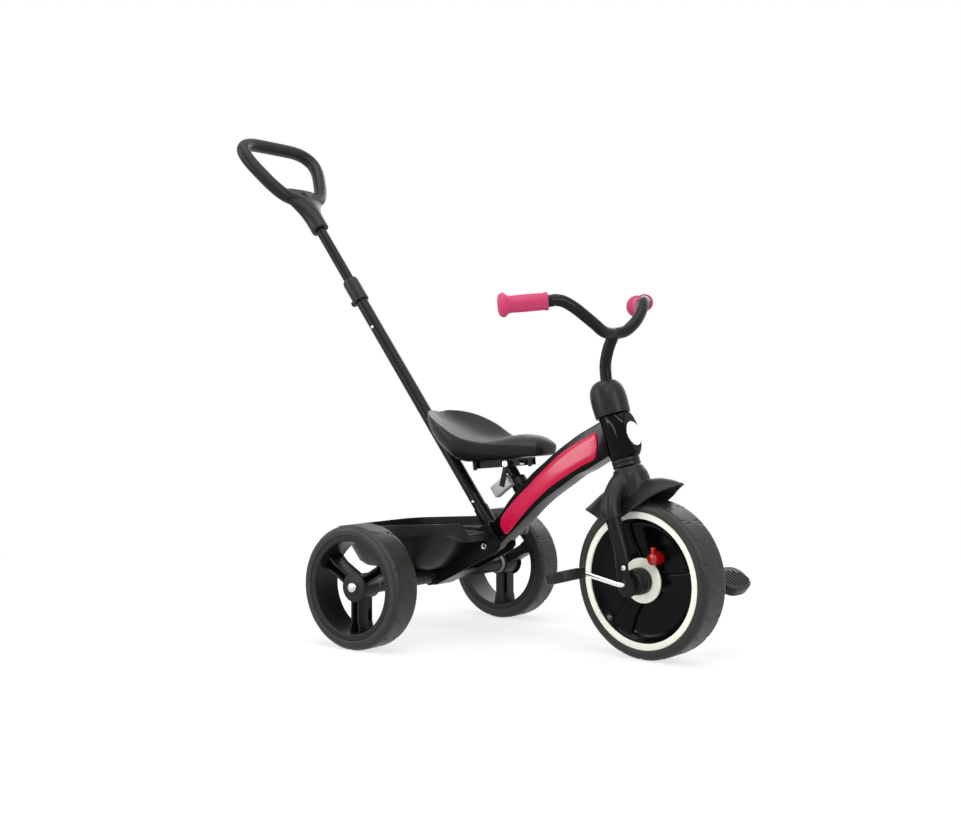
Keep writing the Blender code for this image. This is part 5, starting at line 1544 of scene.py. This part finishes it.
@dataclass
class Saddle:
    """Scooped saddle with its plate, post, studs, bolt and latch.

    Attributes:
        layout: Where the tricycle's lines lie.
        latch_x: The latch block's middle, forward.
        latch_z: Its height.
        strap_across: How far to the right its strap hangs.
        strap_half: Half the strap's width.
        stations: Cross-sections as (forward, half width, rim, dish, underside, underside's half
            width).
    """

    layout: Layout
    latch_x: float = 0.1550
    latch_z: float = 0.2620
    strap_across: float = 0.0300
    strap_half: float = 0.0045
    stations: tuple[tuple[float, float, float, float, float, float], ...] = (
        (0.0040, 0.0200, 0.3885, 0.3865, 0.3800, 0.0160),
        (0.0120, 0.0420, 0.3880, 0.3800, 0.3740, 0.0340),
        (0.0260, 0.0620, 0.3845, 0.3680, 0.3600, 0.0480),
        (0.0450, 0.0770, 0.3765, 0.3570, 0.3360, 0.0580),
        (0.0700, 0.0845, 0.3640, 0.3430, 0.3160, 0.0620),
        (0.0950, 0.0840, 0.3495, 0.3340, 0.3020, 0.0600),
        (0.1200, 0.0765, 0.3405, 0.3320, 0.3040, 0.0540),
        (0.1500, 0.0620, 0.3350, 0.3425, 0.3070, 0.0440),
        (0.1800, 0.0500, 0.3345, 0.3490, 0.3100, 0.0360),
        (0.2050, 0.0440, 0.3340, 0.3487, 0.3120, 0.0320),
        (0.2190, 0.0395, 0.3335, 0.3460, 0.3135, 0.0300),
        (0.2285, 0.0310, 0.3320, 0.3400, 0.3150, 0.0240),
        (0.2330, 0.0160, 0.3290, 0.3325, 0.3190, 0.0120),
    )

    def ring(self, station: Sequence[float]) -> list[Vector]:
        """One cross-section, round from the right rim.

        Args:
            station: A row of stations.

        Returns:
            The ring's points.
        """
        x, half, rim, dish, under, under_half = station
        points = []
        right = (-0.985, -0.94, -0.86, -0.7, -0.5, -0.25)
        for share in (*right, 0.0, *(-share for share in reversed(right))):
            rise = min(1.0, abs(share) / 0.93) ** 2.2
            z = dish + (rim - dish) * rise - max(0.0, abs(share) - 0.93) * 0.03
            points.append(Vector((x, half * share, z)))
        drop = rim - under
        sides = [(1.0, 0.16), (0.985, 0.40), (0.93, 0.70)]
        points += [Vector((x, half * wide, rim - drop * low)) for wide, low in sides]
        points += [Vector((x, under_half * share, under)) for share in (1.0, 0.5, 0.0, -0.5, -1.0)]
        points += [Vector((x, -half * wide, rim - drop * low)) for wide, low in reversed(sides)]
        return points

    def seat(self) -> bpy.types.Object:
        """The saddle's smooth moulding."""
        rings = [self.ring(tuple(row)) for row in spread(self.stations, 3)]
        seat = solid_of("scooped_saddle", skinned(rings), place=self.layout.fixed)
        subdivided(seat, 1)
        return seat

    def latch(self, bench: Bench) -> None:
        """Quick-release block, with the dark strap by which it hangs from the cross-bolt."""
        lay = self.layout
        low, high = (lay.fixed.inverted() @ Vector(corner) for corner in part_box("seat_bolt"))
        bolt = Vector(((low.x + high.x) / 2, -self.strap_across, (low.z + high.z) / 2))
        body = axes((self.latch_x, -0.0220, self.latch_z), lay.bar_out, lay.bar_up)
        face = block((0.0390, 0.0210, 0.0140), lay.fixed @ body, 0.0020, 4)
        bench.show(solid_of("latch_block", face), "seat_latch")
        foot = Vector((self.latch_x + 0.0039, -self.strap_across, self.latch_z))
        down, long, half = (foot - bolt).normalized(), (foot - bolt).length, self.strap_half
        turns = [math.radians(angle) for angle in range(90, 271, 15)]
        outline = [(half * math.cos(turn), half * math.sin(turn)) for turn in turns]
        outline += [(long, -half), (long, half)]
        shape = slab(outline, 0.0034, axes(bolt, down, Y_AXIS.cross(down)), 0.0008, 3)
        strap = solid_of("latch_strap", shape, place=lay.fixed)
        eye = lay.fixed @ outward(bolt, Side.RIGHT)
        carved(strap, plug("strap_hole", 0.0038, 0.01, -0.01, eye, SMALL_ROUND))
        bench.add(strap, "seat_latch", Slot.MATTE_BLACK)

    def build(self, bench: Bench) -> None:
        """Builds the saddle and what holds it."""
        bench.show(self.seat(), "seat")
        post = ((0, 0.0453), (0.0095, 0.0453, 0.0006), (0.0095, -0.0400, 0.0006), (0, -0.0400))
        bench.turn("post_tube", "seat_post", post, self.layout.fixed @ self.layout.post_stand)
        self.latch(bench)
        bench.refine("seat_plate", 0.0006)
        bench.refine("seat_stud_rear", 0.0004)
        bench.refine("seat_stud_front", 0.0004)
        bench.refine("seat_bolt", 0.0004)


def resampled(points: Sequence[Point], count: int) -> list[Vector]:
    """Even points along a smooth flat curve.

    Args:
        points: The points it passes through.
        count: How many points to give.

    Returns:
        The points.
    """
    route = smooth_route([(point[0], point[1], 0) for point in points], 12)
    runs = [0.0]
    for start, end in zip(route, route[1:]):
        runs.append(runs[-1] + (end - start).length)
    result = []
    for index in range(count):
        goal = runs[-1] * index / (count - 1)
        span = max(0, min(len(route) - 2, sum(1 for run in runs if run <= goal) - 1))
        length = runs[span + 1] - runs[span]
        result.append(route[span].lerp(route[span + 1], (goal - runs[span]) / length).xy)
    return result


def eased(a: float, b: float, c: float, d: float, t: float) -> float:
    """A number a share t of the way from b to c, on a smooth curve through all four."""
    square, cube = 2 * a - 5 * b + 4 * c - d, 3 * b - a - 3 * c + d
    return 0.5 * (2 * b + (c - a) * t + square * t**2 + cube * t**3)


def spread(rows: Sequence[Sequence[float]], steps: int) -> list[list[float]]:
    """Fills in rows of numbers along a smooth curve through them.

    Args:
        rows: The rows.
        steps: Steps in each span.

    Returns:
        All rows.
    """
    filled: list[list[float]] = []
    ends = [[2 * a - b for a, b in zip(rows[0], rows[1])], *rows]
    ends.append([2 * a - b for a, b in zip(rows[-1], rows[-2])])
    for spans in zip(ends, ends[1:], ends[2:], ends[3:]):
        for step in range(steps):
            filled.append([eased(*numbers, step / steps) for numbers in zip(*spans)])
    filled.append(list(rows[-1]))
    return filled


@dataclass
class Fork:
    """Crown, legs, steerer, handlebar, grips and head cap.

    Attributes:
        layout: Where the tricycle's lines lie.
        tube_radius: Radius of the stem's and the bar's tubes.
        leg_across: From the middle to a leg's line.
        shroud_radius: Radius of the crown round a leg.
        shroud_levels: Heights over the hub between which it keeps that radius.
        bend_up: Height over the hub below which a leg bends to meet the hub.
        dropout_out: How far out a dropout is set from its leg's line.
        fender: Cross-sections as (forward, ridge, half width, edge), from the hub.
        fender_wall: The fender's thickness.
        shoulder: The crown's sides as (across, height over the hub, share of the radius).
        leg: A leg's cross-sections as (height over the hub, half length, half width, share of
            dropout_out).
        stem: The stem's line over the head cap, as (forward, up).
        bar: Half the bar's line, as (forward, across, up).
        grip_inner: The grip's inner end.
        grip_outer: A point farther out on the grip's line.
        cap_foot: Station of the head cap's foot.
    """

    layout: Layout
    tube_radius: float = 0.0095
    leg_across: float = 0.0550
    shroud_radius: float = 0.0148
    shroud_levels: tuple[float, float] = (0.1150, 0.1020)
    bend_up: float = 0.0560
    dropout_out: float = 0.0080
    fender: tuple[tuple[float, float, float, float], ...] = (
        (-0.1200, 0.1070, 0.0110, 0.1035),
        (-0.0881, 0.1320, 0.0300, 0.0990),
        (-0.0611, 0.1450, 0.0400, 0.0930),
        (-0.0231, 0.1530, 0.0430, 0.1010),
        (0.0169, 0.1600, 0.0400, 0.1270),
        (0.0419, 0.1590, 0.0260, 0.1430),
        (0.0649, 0.1540, 0.0070, 0.1525),
    )
    fender_wall: float = 0.0026
    shoulder: tuple[tuple[float, float, float], ...] = (
        (0.0040, 0.1550, 1.30),
        (0.0180, 0.1545, 1.15),
        (0.0340, 0.1455, 1.02),
        (0.0475, 0.1310, 1.00),
    )
    leg: tuple[tuple[float, float, float, float], ...] = (
        (0.1120, 0.0125, 0.0125, 0.0),
        (0.0900, 0.0125, 0.0125, 0.0),
        (0.0560, 0.0125, 0.0125, 0.0),
        (0.0400, 0.0122, 0.0070, 0.6),
        (0.0270, 0.0122, 0.0030, 1.0),
        (0.0140, 0.0128, 0.0030, 1.0),
        (0.0060, 0.0154, 0.0030, 1.0),
        (0.0000, 0.0165, 0.0030, 1.0),
        (-0.0080, 0.0144, 0.0030, 1.0),
        (-0.0130, 0.0102, 0.0030, 1.0),
        (-0.0160, 0.0040, 0.0030, 1.0),
    )
    stem: tuple[tuple[float, float], ...] = (
        (0.3470, 0.4190),
        (0.3447, 0.4370),
        (0.3433, 0.4630),
        (0.3500, 0.4880),
        (0.3590, 0.5060),
    )
    bar: tuple[tuple[float, float, float], ...] = (
        (0.3605, 0.0000, 0.5120),
        (0.3628, 0.0275, 0.5157),
        (0.3638, 0.0500, 0.5275),
        (0.3607, 0.0675, 0.5390),
        (0.3548, 0.0850, 0.5520),
        (0.3460, 0.1010, 0.5625),
        (0.3385, 0.1130, 0.5655),
    )
    grip_inner: tuple[float, float, float] = (0.3325, 0.1232, 0.5641)
    grip_outer: tuple[float, float, float] = (0.2745, 0.1762, 0.5593)
    cap_foot: float = 0.2690

    def fender_ring(self, row: Sequence[float]) -> list[Vector]:
        """One bowed cross-section of the fender, over and back under.

        Args:
            row: A row of the fender.

        Returns:
            The ring's points.
        """
        forward, ridge, half, edge = row
        over, under = [], []
        count = 25
        inner = max(0.2, 1 - self.fender_wall / half)
        for index in range(count):
            share = 2 * index / (count - 1) - 1
            up = ridge - (ridge - edge) * abs(share) ** 1.7
            over.append(self.layout.hub + Vector((forward, half * share, up)))
            spot = Vector((forward, half * share * inner, up - self.fender_wall))
            under.append(self.layout.hub + spot)
        return over + under[::-1]

    def crown(self) -> bpy.types.Object:
        """Collar, shoulders and fender run together as one moulding."""
        lay = self.layout
        fender = skinned([self.fender_ring(row) for row in spread(self.fender, 5)])
        cone = (
            (0, 0.1820),
            (0.0235, 0.1820),
            (0.0285, 0.1700),
            (0.0300, 0.1600),
            (0.0290, 0.1340),
            (0, 0.1340),
        )
        shapes = (fender, turned(cone, lay.axis_stand), *(self.shroud(side) for side in Side))
        crown = solid_of("crown_shell", *shapes)
        melded(crown, 0.0012, 6)
        cutters = [solid_of("tyre_room", self.tyre_room())]
        for side in Side:
            low = upright(lay.on_leg(0.07, side.value * self.leg_across), lay.steer_up)
            cutters.append(plug("leg_bore_" + side.label, 0.0128, 0.0507, 0, low, BORE_ROUND))
        cutters.append(plug("steerer_bore", 0.0123, 0.2, 0.1552, lay.axis_stand, BORE_ROUND))
        carved(crown, *cutters)
        crown.data.transform(lay.steered)
        return crown

    def tyre_room(self) -> bmesh.types.BMesh:
        """The space that the front tyre turns in."""
        room = (
            (0, 0.0326),
            (0.1185, 0.0326),
            (0.1280, 0.0231),
            (0.1280, -0.0231),
            (0.1185, -0.0326),
            (0, -0.0326),
        )
        return turned(room, outward(self.layout.hub, Side.RIGHT), RIM_ROUND)

    def shroud(self, side: Side) -> bmesh.types.BMesh:
        """One side of the crown, out from its middle and down a leg."""
        lay = self.layout
        rows = []
        for across, up, width in self.shoulder:
            share = min(1.0, across / self.leg_across)
            spot = lay.on_axis(up / lay.steer_up.z, -lay.leg_behind * share, side.value * across)
            rows.append([*spot, self.shroud_radius * width])
        for up in self.shroud_levels:
            rows.append([*lay.on_leg(up, side.value * self.leg_across), self.shroud_radius])
        filled = spread(rows, 6)
        return swept([Vector(row[:3]) for row in filled], [row[3] for row in filled], 40)

    def legs(self, bench: Bench) -> None:
        """Steel legs that flatten to their dropouts, each with a domed screw and the rod's bush."""
        lay = self.layout
        drawn = lay.wheelbase - lay.on_leg(0, 0).x
        screw = (
            (0, 0),
            (0.0042, 0),
            (0.0042, 0.0008, 0.0004),
            (0.0030, 0.0025, 0.001),
            (0.0012, 0.0025),
            (0.0012, 0.0014),
            (0, 0.0014),
        )
        bush = (
            (ROD_BORE, 0.0503),
            (0.0095, 0.0503, 0.0006),
            (0.0095, 0.0597, 0.0006),
            (0.0065, 0.0597),
            (0.0065, 0.0672, 0.0008),
            (ROD_BORE, 0.0672),
        )
        for side in Side:
            label = side.label
            hub = lay.steered @ outward(lay.hub, side)
            rings = []
            for up, forward, across, flat in spread(self.leg, 4):
                offset = self.leg_across + self.dropout_out * min(1.0, max(0.0, flat))
                fade = min(1.0, max(0.0, 1 - up / self.bend_up))
                centre = lay.on_leg(up, side.value * offset) + Vector((drawn * fade, 0, 0))
                rings.append(ellipse(centre, Vector((forward, 0, 0)), Y_AXIS * across, 40))
            leg = solid_of("leg_" + label, skinned(rings), place=lay.steered)
            carved(leg, plug("eye_" + label, 0.0068, 0.08, 0.04, hub, SMALL_ROUND))
            bench.show(leg, "fork_leg_" + label)
            spot = lay.on_leg(0.0290, side.value * 0.0663)
            spot += Vector((drawn * (1 - 0.0290 / self.bend_up) + 0.0060, 0, 0))
            head = lay.steered @ outward(spot, side)
            bench.turn("leg_screw_" + label, "dropout_screw_" + label, screw, head, SMALL_ROUND)
            bench.turn("axle_bush_" + label, "crank_bush_" + label, bush, hub, BORE_ROUND)

    def stem_route(self) -> list[Vector]:
        """From inside the steerer up and forward to the bar."""
        lay = self.layout
        start = [lay.on_axis(station) for station in (0.2500, 0.2680, 0.2850)]
        return smooth_route([*start, *(Vector((x, 0, z)) for x, z in self.stem), Vector(self.bar[0])], 8)

    def handlebar(self) -> bpy.types.Object:
        """Bent bar, with the stem that it is welded to."""
        inner, outer = Vector(self.grip_inner), Vector(self.grip_outer)
        along = (outer - inner).normalized()
        half = smooth_route([*self.bar, inner - along * 0.004], 8)
        half.append(inner + along * 0.0617)
        other = [Vector((point.x, -point.y, point.z)) for point in half[1:]]
        bar = swept(other[::-1] + half, self.tube_radius, 32)
        stem = swept(self.stem_route(), self.tube_radius, 32)
        return solid_of("bent_bar", bar, stem, place=self.layout.steered)

    def grips(self, bench: Bench) -> None:
        """Soft grips with a slight barrel, a rim at the inner end and a mushroom at the outer."""
        profile: list[tuple[float, ...]] = [
            (0.0, 0.0790),
            (0.0100, 0.0788, 0.002),
            (0.0165, 0.0765, 0.003),
            (0.0194, 0.0715, 0.003),
            (0.0188, 0.0670, 0.003),
            (0.0147, 0.0635, 0.003),
            (0.0133, 0.0585, 0.004),
            (0.0138, 0.0400, 0.009),
            (0.0136, 0.0180, 0.009),
            (0.0133, 0.0076, 0.002),
            (0.0143, 0.0062, 0.0012),
            (0.0143, 0.0016, 0.0012),
            (0.0133, 0.0003, 0.0005),
            (0.0098, 0.0003),
            (0.0098, 0.0620),
            (0.0, 0.0620),
        ]
        for side in Side:
            flip = Vector((1, side.value, 1))
            inner, outer = Vector(self.grip_inner) * flip, Vector(self.grip_outer) * flip
            seat = self.layout.steered @ upright(inner, outer - inner)
            bench.turn("soft_grip_" + side.label, "grip_" + side.label, profile, seat)

    def cap(self) -> bpy.types.Object:
        """Domed cover over the foot of the stem."""
        outline = (
            (0.0, 0.0597),
            (0.0110, 0.0588, 0.002),
            (0.0190, 0.0555, 0.004),
            (0.0255, 0.0480, 0.006),
            (0.0287, 0.0370, 0.006),
            (0.0295, 0.0220, 0.006),
            (0.0285, 0.0, 0.0008),
            (0.0, 0.0),
        )
        lay = self.layout
        foot = upright(lay.on_axis(self.cap_foot), lay.steer_up)
        cap = solid_of("stem_cap", turned(outline, foot))
        cavity = plug("cap_cavity", 0.0123, 0.0156, -0.02, foot, BORE_ROUND)
        passage = swept(self.stem_route(), self.tube_radius + 0.0006, 32)
        carved(cap, cavity, solid_of("cap_passage", passage))
        cap.data.transform(lay.steered)
        return cap

    def build(self, bench: Bench) -> None:
        """Builds everything that turns with the fork."""
        bench.show(self.crown(), "fork_crown")
        self.legs(bench)
        pipe = ((0.0120, 0.2840), (0.0120, 0.1555), (0.0098, 0.1555), (0.0098, 0.2840))
        stand = self.layout.steered @ self.layout.axis_stand
        bench.turn("steerer_tube", "steerer", pipe, stand)
        bench.show(self.handlebar(), "handlebar")
        self.grips(bench)
        bench.show(self.cap(), "head_cap")


@dataclass
class FrontWheel:
    """Front wheel with its dished disc, cream rings, hub and clutch knob."""

    layout: Layout
    radius: float = 0.1250
    width: float = 0.0593
    disc_radius: float = 0.1087
    ring_inner: float = 0.0979
    disc_face: float = 0.0247
    panel_face: float = 0.0130
    hub_face: float = 0.0188
    spoke: tuple[tuple[float, float], ...] = (
        (0.0265, 0.0160),
        (0.0600, 0.0155),
        (0.0800, 0.0190),
        (0.0960, 0.0262),
    )

    @property
    def place(self) -> Matrix:
        """The hub, with Z out to the right."""
        return self.layout.steered @ outward(self.layout.hub, Side.RIGHT)

    def disc(self) -> bpy.types.Object:
        """Dished disc with three broad raised spokes on each face."""
        half = [
            (0.0203, self.hub_face),
            (0.0330, self.hub_face, 0.0012),
            (0.0336, self.panel_face, 0.0020),
            (0.0880, self.panel_face, 0.006),
            (self.ring_inner - 0.0003, self.disc_face, 0.003),
            (self.disc_radius, self.disc_face),
        ]
        other = [(radius, -height, *more) for radius, height, *more in reversed(half)]
        dish = turned(half + other, Matrix(), RIM_ROUND)
        outer = [(x, -y) for x, y in self.spoke] + [(x, y) for x, y in reversed(self.spoke)]
        spokes = [
            slab(outer, 2 * self.hub_face, Matrix.Rotation(math.radians(angle), 4, "Z"), 0.0034, 5)
            for angle in (0, 120, 240)
        ]
        disc = solid_of("wheel_disc", dish, *spokes)
        disc.data.transform(self.place)
        return disc

    def hub(self, bench: Bench) -> None:
        """Cream hub core, its drums and the red knob."""
        core = (
            (0.0356, 0.0220, 0.001),
            (0.0356, 0.0191),
            (0.0200, 0.0191),
            (0.0200, -0.0191),
            (0.0356, -0.0191),
            (0.0356, -0.0220, 0.001),
            (ROD_BORE, -0.0220),
            (ROD_BORE, 0.0220),
        )
        bench.turn("cream_hub", "hub_core", core, self.place)
        for side, sign in ((Side.RIGHT, 1), (Side.LEFT, -1)):
            near, far = sign * 0.0223, sign * 0.0500
            drum = (
                (ROD_BORE, near),
                (0.0212, near, 0.0008),
                (0.0212, near + sign * 0.012, 0.001),
                (0.0200, near + sign * 0.0145, 0.001),
                (0.0200, far - sign * 0.006, 0.001),
                (0.0180, far, 0.0015),
                (ROD_BORE, far),
            )
            bench.turn("drum_" + side.label, "hub_drum_" + side.label, drum, self.place)
        foot = 0.0133
        spot = self.place @ Matrix.Translation((0.0285, 0.0370, 0))
        knob = turned(
            (
                (0, foot),
                (0.0105, foot, 0.0005),
                (0.0104, foot + 0.013, 0.002),
                (0.0088, foot + 0.0210, 0.003),
                (0, foot + 0.0221),
            ),
            spot,
        )
        tab = block((0.0066, 0.0120, 0.0097), spot @ Matrix.Translation((0, 0.0124, 0.0276)), 0.0022, 4)
        bench.show(solid_of("free_wheel_knob", knob, tab), "clutch_knob")

    def build(self, bench: Bench) -> None:
        """Builds the wheel."""
        tyre = Tyre(self.radius, self.width, self.disc_radius + 0.0003)
        bench.show(solid_of("tyre_front", tyre.shape(self.place)), "front_tyre")
        bench.show(self.disc(), "front_disc")
        for side, sign in ((Side.RIGHT, 1), (Side.LEFT, -1)):
            near, far = sign * 0.0250, sign * 0.0276
            ring = (
                (self.ring_inner, near),
                (self.ring_inner, far, 0.0010),
                (self.disc_radius, far, 0.0010),
                (self.disc_radius, near),
            )
            name = "cream_ring_" + side.label
            bench.turn(name, "front_ring_" + side.label, ring, self.place, RIM_ROUND)
        self.hub(bench)


@dataclass
class Cranks:
    """Bent crank rod and the two pedals.

    Attributes:
        layout: Where the tricycle's lines lie.
        rod_radius: The rod's radius.
        arm: From the hub's line to a spindle's.
        lift: How far the right arm, which points back, rises over level.
        hub_end: From the middle to the bend beside the hub.
        arm_end: From the middle to the bend at a spindle.
        tip: From the middle to a spindle's end.
        bend: How far from its corner a bend starts.
        pedal_middle: From the middle to a pedal's.
        ribs: Ribs on each face of a pedal.
        outline: A pedal's forward half, as (forward, out).
        tilts: How far each pedal hangs from level.
    """

    layout: Layout
    rod_radius: float = 0.0040
    arm: float = 0.0700
    lift: float = math.radians(12.0)
    hub_end: float = 0.0745
    arm_end: float = 0.0835
    tip: float = 0.1515
    bend: float = 0.0085
    pedal_middle: float = 0.1250
    ribs: int = 7
    outline: tuple[tuple[float, float], ...] = (
        (0.0140, -0.0340),
        (0.0235, -0.0220),
        (0.0255, 0.0050),
        (0.0215, 0.0240),
        (0.0100, 0.0350),
    )
    tilts: dict[Side, float] = field(
        default_factory=lambda: {Side.RIGHT: math.radians(-15.0), Side.LEFT: math.radians(38.0)}
    )

    def end(self, side: Side) -> Vector:
        """Where an arm ends, on the middle plane."""
        reach = Vector((math.cos(self.lift), 0, -math.sin(self.lift))) * self.arm
        return self.layout.hub + reach * side.value

    def route(self) -> list[Vector]:
        """The rod's line from one spindle's tip to the other's."""
        right, left = self.end(Side.RIGHT), self.end(Side.LEFT)
        hub = self.layout.hub
        corners = [
            right - Y_AXIS * self.tip,
            right - Y_AXIS * self.arm_end,
            hub - Y_AXIS * self.hub_end,
            hub + Y_AXIS * self.hub_end,
            left + Y_AXIS * self.arm_end,
            left + Y_AXIS * self.tip,
        ]
        route = [corners[0]]
        for before, corner, after in zip(corners, corners[1:], corners[2:]):
            start = corner + (before - corner).normalized() * self.bend
            finish = corner + (after - corner).normalized() * self.bend
            for step in range(9):
                t = step / 8
                route.append(start * (1 - t) ** 2 + corner * 2 * t * (1 - t) + finish * t**2)
        route.append(corners[-1])
        return route

    def pedal(self, side: Side) -> bpy.types.Object:
        """A flat pedal with a rounded outer end and slanting ribs, as it hangs on its spindle."""
        sign = side.value
        corners = [(-x, y * sign, 0.011) for x, y in self.outline]
        corners += [(x, y * sign, 0.011) for x, y in reversed(self.outline)]
        shapes = [slab(rounded(corners, True, 6), 0.0154, Matrix(), 0.0016, 4)]
        slant = Matrix.Rotation(math.radians(24) * sign, 4, "Z")
        for row in range(self.ribs):
            across = sign * (-0.0255 + row * 0.0088)
            half = 0.0200 - 0.0011 * (row - self.ribs // 2) ** 2
            for face in (-1, 1):
                place = Matrix.Translation((0, across, face * 0.0072)) @ slant
                shapes.append(block((2 * half, 0.0028, 0.0030), place, 0.0006, 3))
        tip = turned(
            ((ROD_BORE, 0.0), (0.0075, 0.0, 0.0006), (0.0085, 0.0030), (ROD_BORE, 0.0030)),
            upright((0, -sign * 0.0342, 0), Vector((0, sign, 0))),
            SMALL_ROUND,
        )
        tilt = Matrix.Rotation(self.tilts[side], 4, "Y")
        spot = Matrix.Translation(self.end(side) + Y_AXIS * sign * self.pedal_middle) @ tilt
        return solid_of("flat_pedal_" + side.label, *shapes, tip, place=self.layout.steered @ spot)

    def build(self, bench: Bench) -> None:
        """Builds the rod and pedals."""
        rod = swept(self.route(), self.rod_radius, 24)
        bench.show(solid_of("bent_rod", rod, place=self.layout.steered), "crankshaft")
        for side in Side:
            bench.show(self.pedal(side), "pedal_" + side.label)


@dataclass
class Studio:
    """White studio: floor, even light, lamps and the camera of the photograph.

    Attributes:
        layout: Where the tricycle's lines lie.
        eye: The camera's place.
        yaw: Its heading, from forward towards the left.
        pitch: Its tilt over level.
        lens: Its focal length in millimetres, on a sensor 36 mm wide.
        aim: The place that the lamps face.
        shadow_reach: How far from the middle the floor keeps its shadow.
        floor_glow: The share of plain white mixed into the floor there.
    """

    layout: Layout
    eye: tuple[float, float, float] = (1.4931, -1.8814, 0.4159)
    yaw: float = math.radians(126.66)
    pitch: float = math.radians(-0.623)
    lens: float = 51.32
    aim: tuple[float, float, float] = (0.05, 0, 0.35)
    shadow_reach: float = 0.80
    floor_glow: float = 0.72

    def camera(self) -> None:
        """Places the camera where the photograph was taken."""
        data = bpy.data.cameras.new("camera")
        data.lens = self.lens
        data.sensor_width = 36.0
        camera = bpy.data.objects.new("camera", data)
        bpy.context.scene.collection.objects.link(camera)
        flat = math.cos(self.pitch)
        look = Vector((math.cos(self.yaw) * flat, math.sin(self.yaw) * flat, math.sin(self.pitch)))
        camera.location = self.layout.fixed @ Vector(self.eye)
        camera.rotation_euler = look.to_track_quat("-Z", "Y").to_euler()
        bpy.context.scene.camera = camera

    def lamp(self, name: str, spot: Point, size: tuple[float, float], power: float) -> None:
        """A softbox that faces the tricycle's middle.

        Args:
            name: The lamp's name.
            spot: Where it stands.
            size: Its width and height.
            power: Its power in watts.
        """
        data = bpy.data.lights.new(name, "AREA")
        data.shape = "RECTANGLE"
        data.size, data.size_y = size
        data.energy = power
        lamp = bpy.data.objects.new(name, data)
        bpy.context.scene.collection.objects.link(lamp)
        lamp.location = spot
        look = Vector(self.aim) - Vector(spot)
        lamp.rotation_euler = look.to_track_quat("-Z", "Y").to_euler()

    def world(self) -> None:
        """A dim even light, seen as white by the camera and by glossy surfaces' rays."""
        world = bpy.data.worlds.new("studio")
        bpy.context.scene.world = world
        world.use_nodes = True
        nodes, links = world.node_tree.nodes, world.node_tree.links
        nodes.clear()
        path = nodes.new("ShaderNodeLightPath")
        direct, seen = (nodes.new("ShaderNodeMath") for _ in range(2))
        direct.operation = seen.operation = "MAXIMUM"
        links.new(path.outputs["Is Camera Ray"], direct.inputs[0])
        links.new(path.outputs["Is Glossy Ray"], direct.inputs[1])
        links.new(direct.outputs[0], seen.inputs[0])
        links.new(path.outputs["Is Transmission Ray"], seen.inputs[1])
        dim = nodes.new("ShaderNodeBackground")
        dim.inputs["Color"].default_value = (0.95, 0.97, 1.0, 1.0)
        dim.inputs["Strength"].default_value = 0.55
        bright = nodes.new("ShaderNodeBackground")
        bright.inputs["Color"].default_value = (1.0, 1.0, 1.0, 1.0)
        bright.inputs["Strength"].default_value = 1.0
        mix = nodes.new("ShaderNodeMixShader")
        links.new(seen.outputs[0], mix.inputs[0])
        links.new(dim.outputs[0], mix.inputs[1])
        links.new(bright.outputs[0], mix.inputs[2])
        output = nodes.new("ShaderNodeOutputWorld")
        links.new(mix.outputs[0], output.inputs["Surface"])

    def floor(self) -> None:
        """Pale floor that keeps a soft shadow near the tricycle and is plain white farther off."""
        shape = bmesh.new()
        bmesh.ops.create_grid(shape, x_segments=1, y_segments=1, size=9)
        floor = solid_of("floor", shape)
        skin = Skin("studio_floor")
        cloud = skin.noise(1.5, 2.0)
        pale = skin.blend(cloud, colour(0.90, 0.90, 0.90), colour(0.92, 0.92, 0.92))
        skin.feed(base_color=pale, roughness=0.9)
        glow = skin.tree.nodes.new("ShaderNodeEmission")
        mix = skin.tree.nodes.new("ShaderNodeMixShader")
        path = skin.tree.nodes.new("ShaderNodeLightPath")
        seen = Socket(skin, path.outputs["Is Camera Ray"]) + Socket(skin, path.outputs["Is Glossy Ray"])
        reach = skin.node("ShaderNodeVectorMath", {"operation": "LENGTH"}, {0: skin.place}, "Value")
        far = skin.band(reach, self.shadow_reach, 2 * self.shadow_reach)
        glow_share = far * (1 - self.floor_glow) + self.floor_glow
        share = (seen + Socket(skin, path.outputs["Is Transmission Ray"])) * glow_share
        skin.join(share, mix.inputs[0])
        skin.tree.links.new(skin.shader.outputs[0], mix.inputs[1])
        skin.tree.links.new(glow.outputs[0], mix.inputs[2])
        output = skin.tree.nodes["Material Output"]
        skin.tree.links.new(mix.outputs[0], output.inputs["Surface"])
        floor.data.materials.append(skin.material)

    def build(self) -> None:
        """Sets up the studio."""
        self.camera()
        self.world()
        self.floor()
        self.lamp("top_softbox", (0.2, -0.3, 2.4), (2.4, 1.6), 34)
        self.lamp("left_softbox", (-1.9, -1.7, 1.5), (0.9, 1.6), 22)
        self.lamp("low_strip", (-1.0, -1.9, 0.55), (0.16, 0.8), 9)
        self.lamp("high_strip", (0.9, -1.5, 1.9), (0.7, 0.16), 11)
        self.lamp("right_softbox", (2.3, -0.6, 1.3), (0.8, 1.6), 22)
        self.lamp("back_softbox", (-0.4, 2.2, 1.6), (2.0, 1.2), 16)
        bpy.context.scene.view_settings.view_transform = "Standard"


def main() -> None:
    """Builds the dressed tricycle around its frame."""
    logging.basicConfig(level=logging.INFO, format="%(message)s")
    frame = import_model()
    low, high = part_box("rear_axle")
    layout = Layout(shift=(low[0] + high[0]) / 2)
    Studio(layout).build()
    bench = Bench(frame)
    builders: tuple[Callable[[Bench], None], ...] = (
        RearWheel(layout, Side.RIGHT).build,
        RearWheel(layout, Side.LEFT).build,
        RearFrame(layout).build,
        PushBar(layout).build,
        Beam(layout).build,
        Saddle(layout).build,
        Fork(layout).build,
        FrontWheel(layout).build,
        Cranks(layout).build,
    )
    for build in builders:
        build(bench)
    bench.finish_rest()


if __name__ == "__main__":
    main()
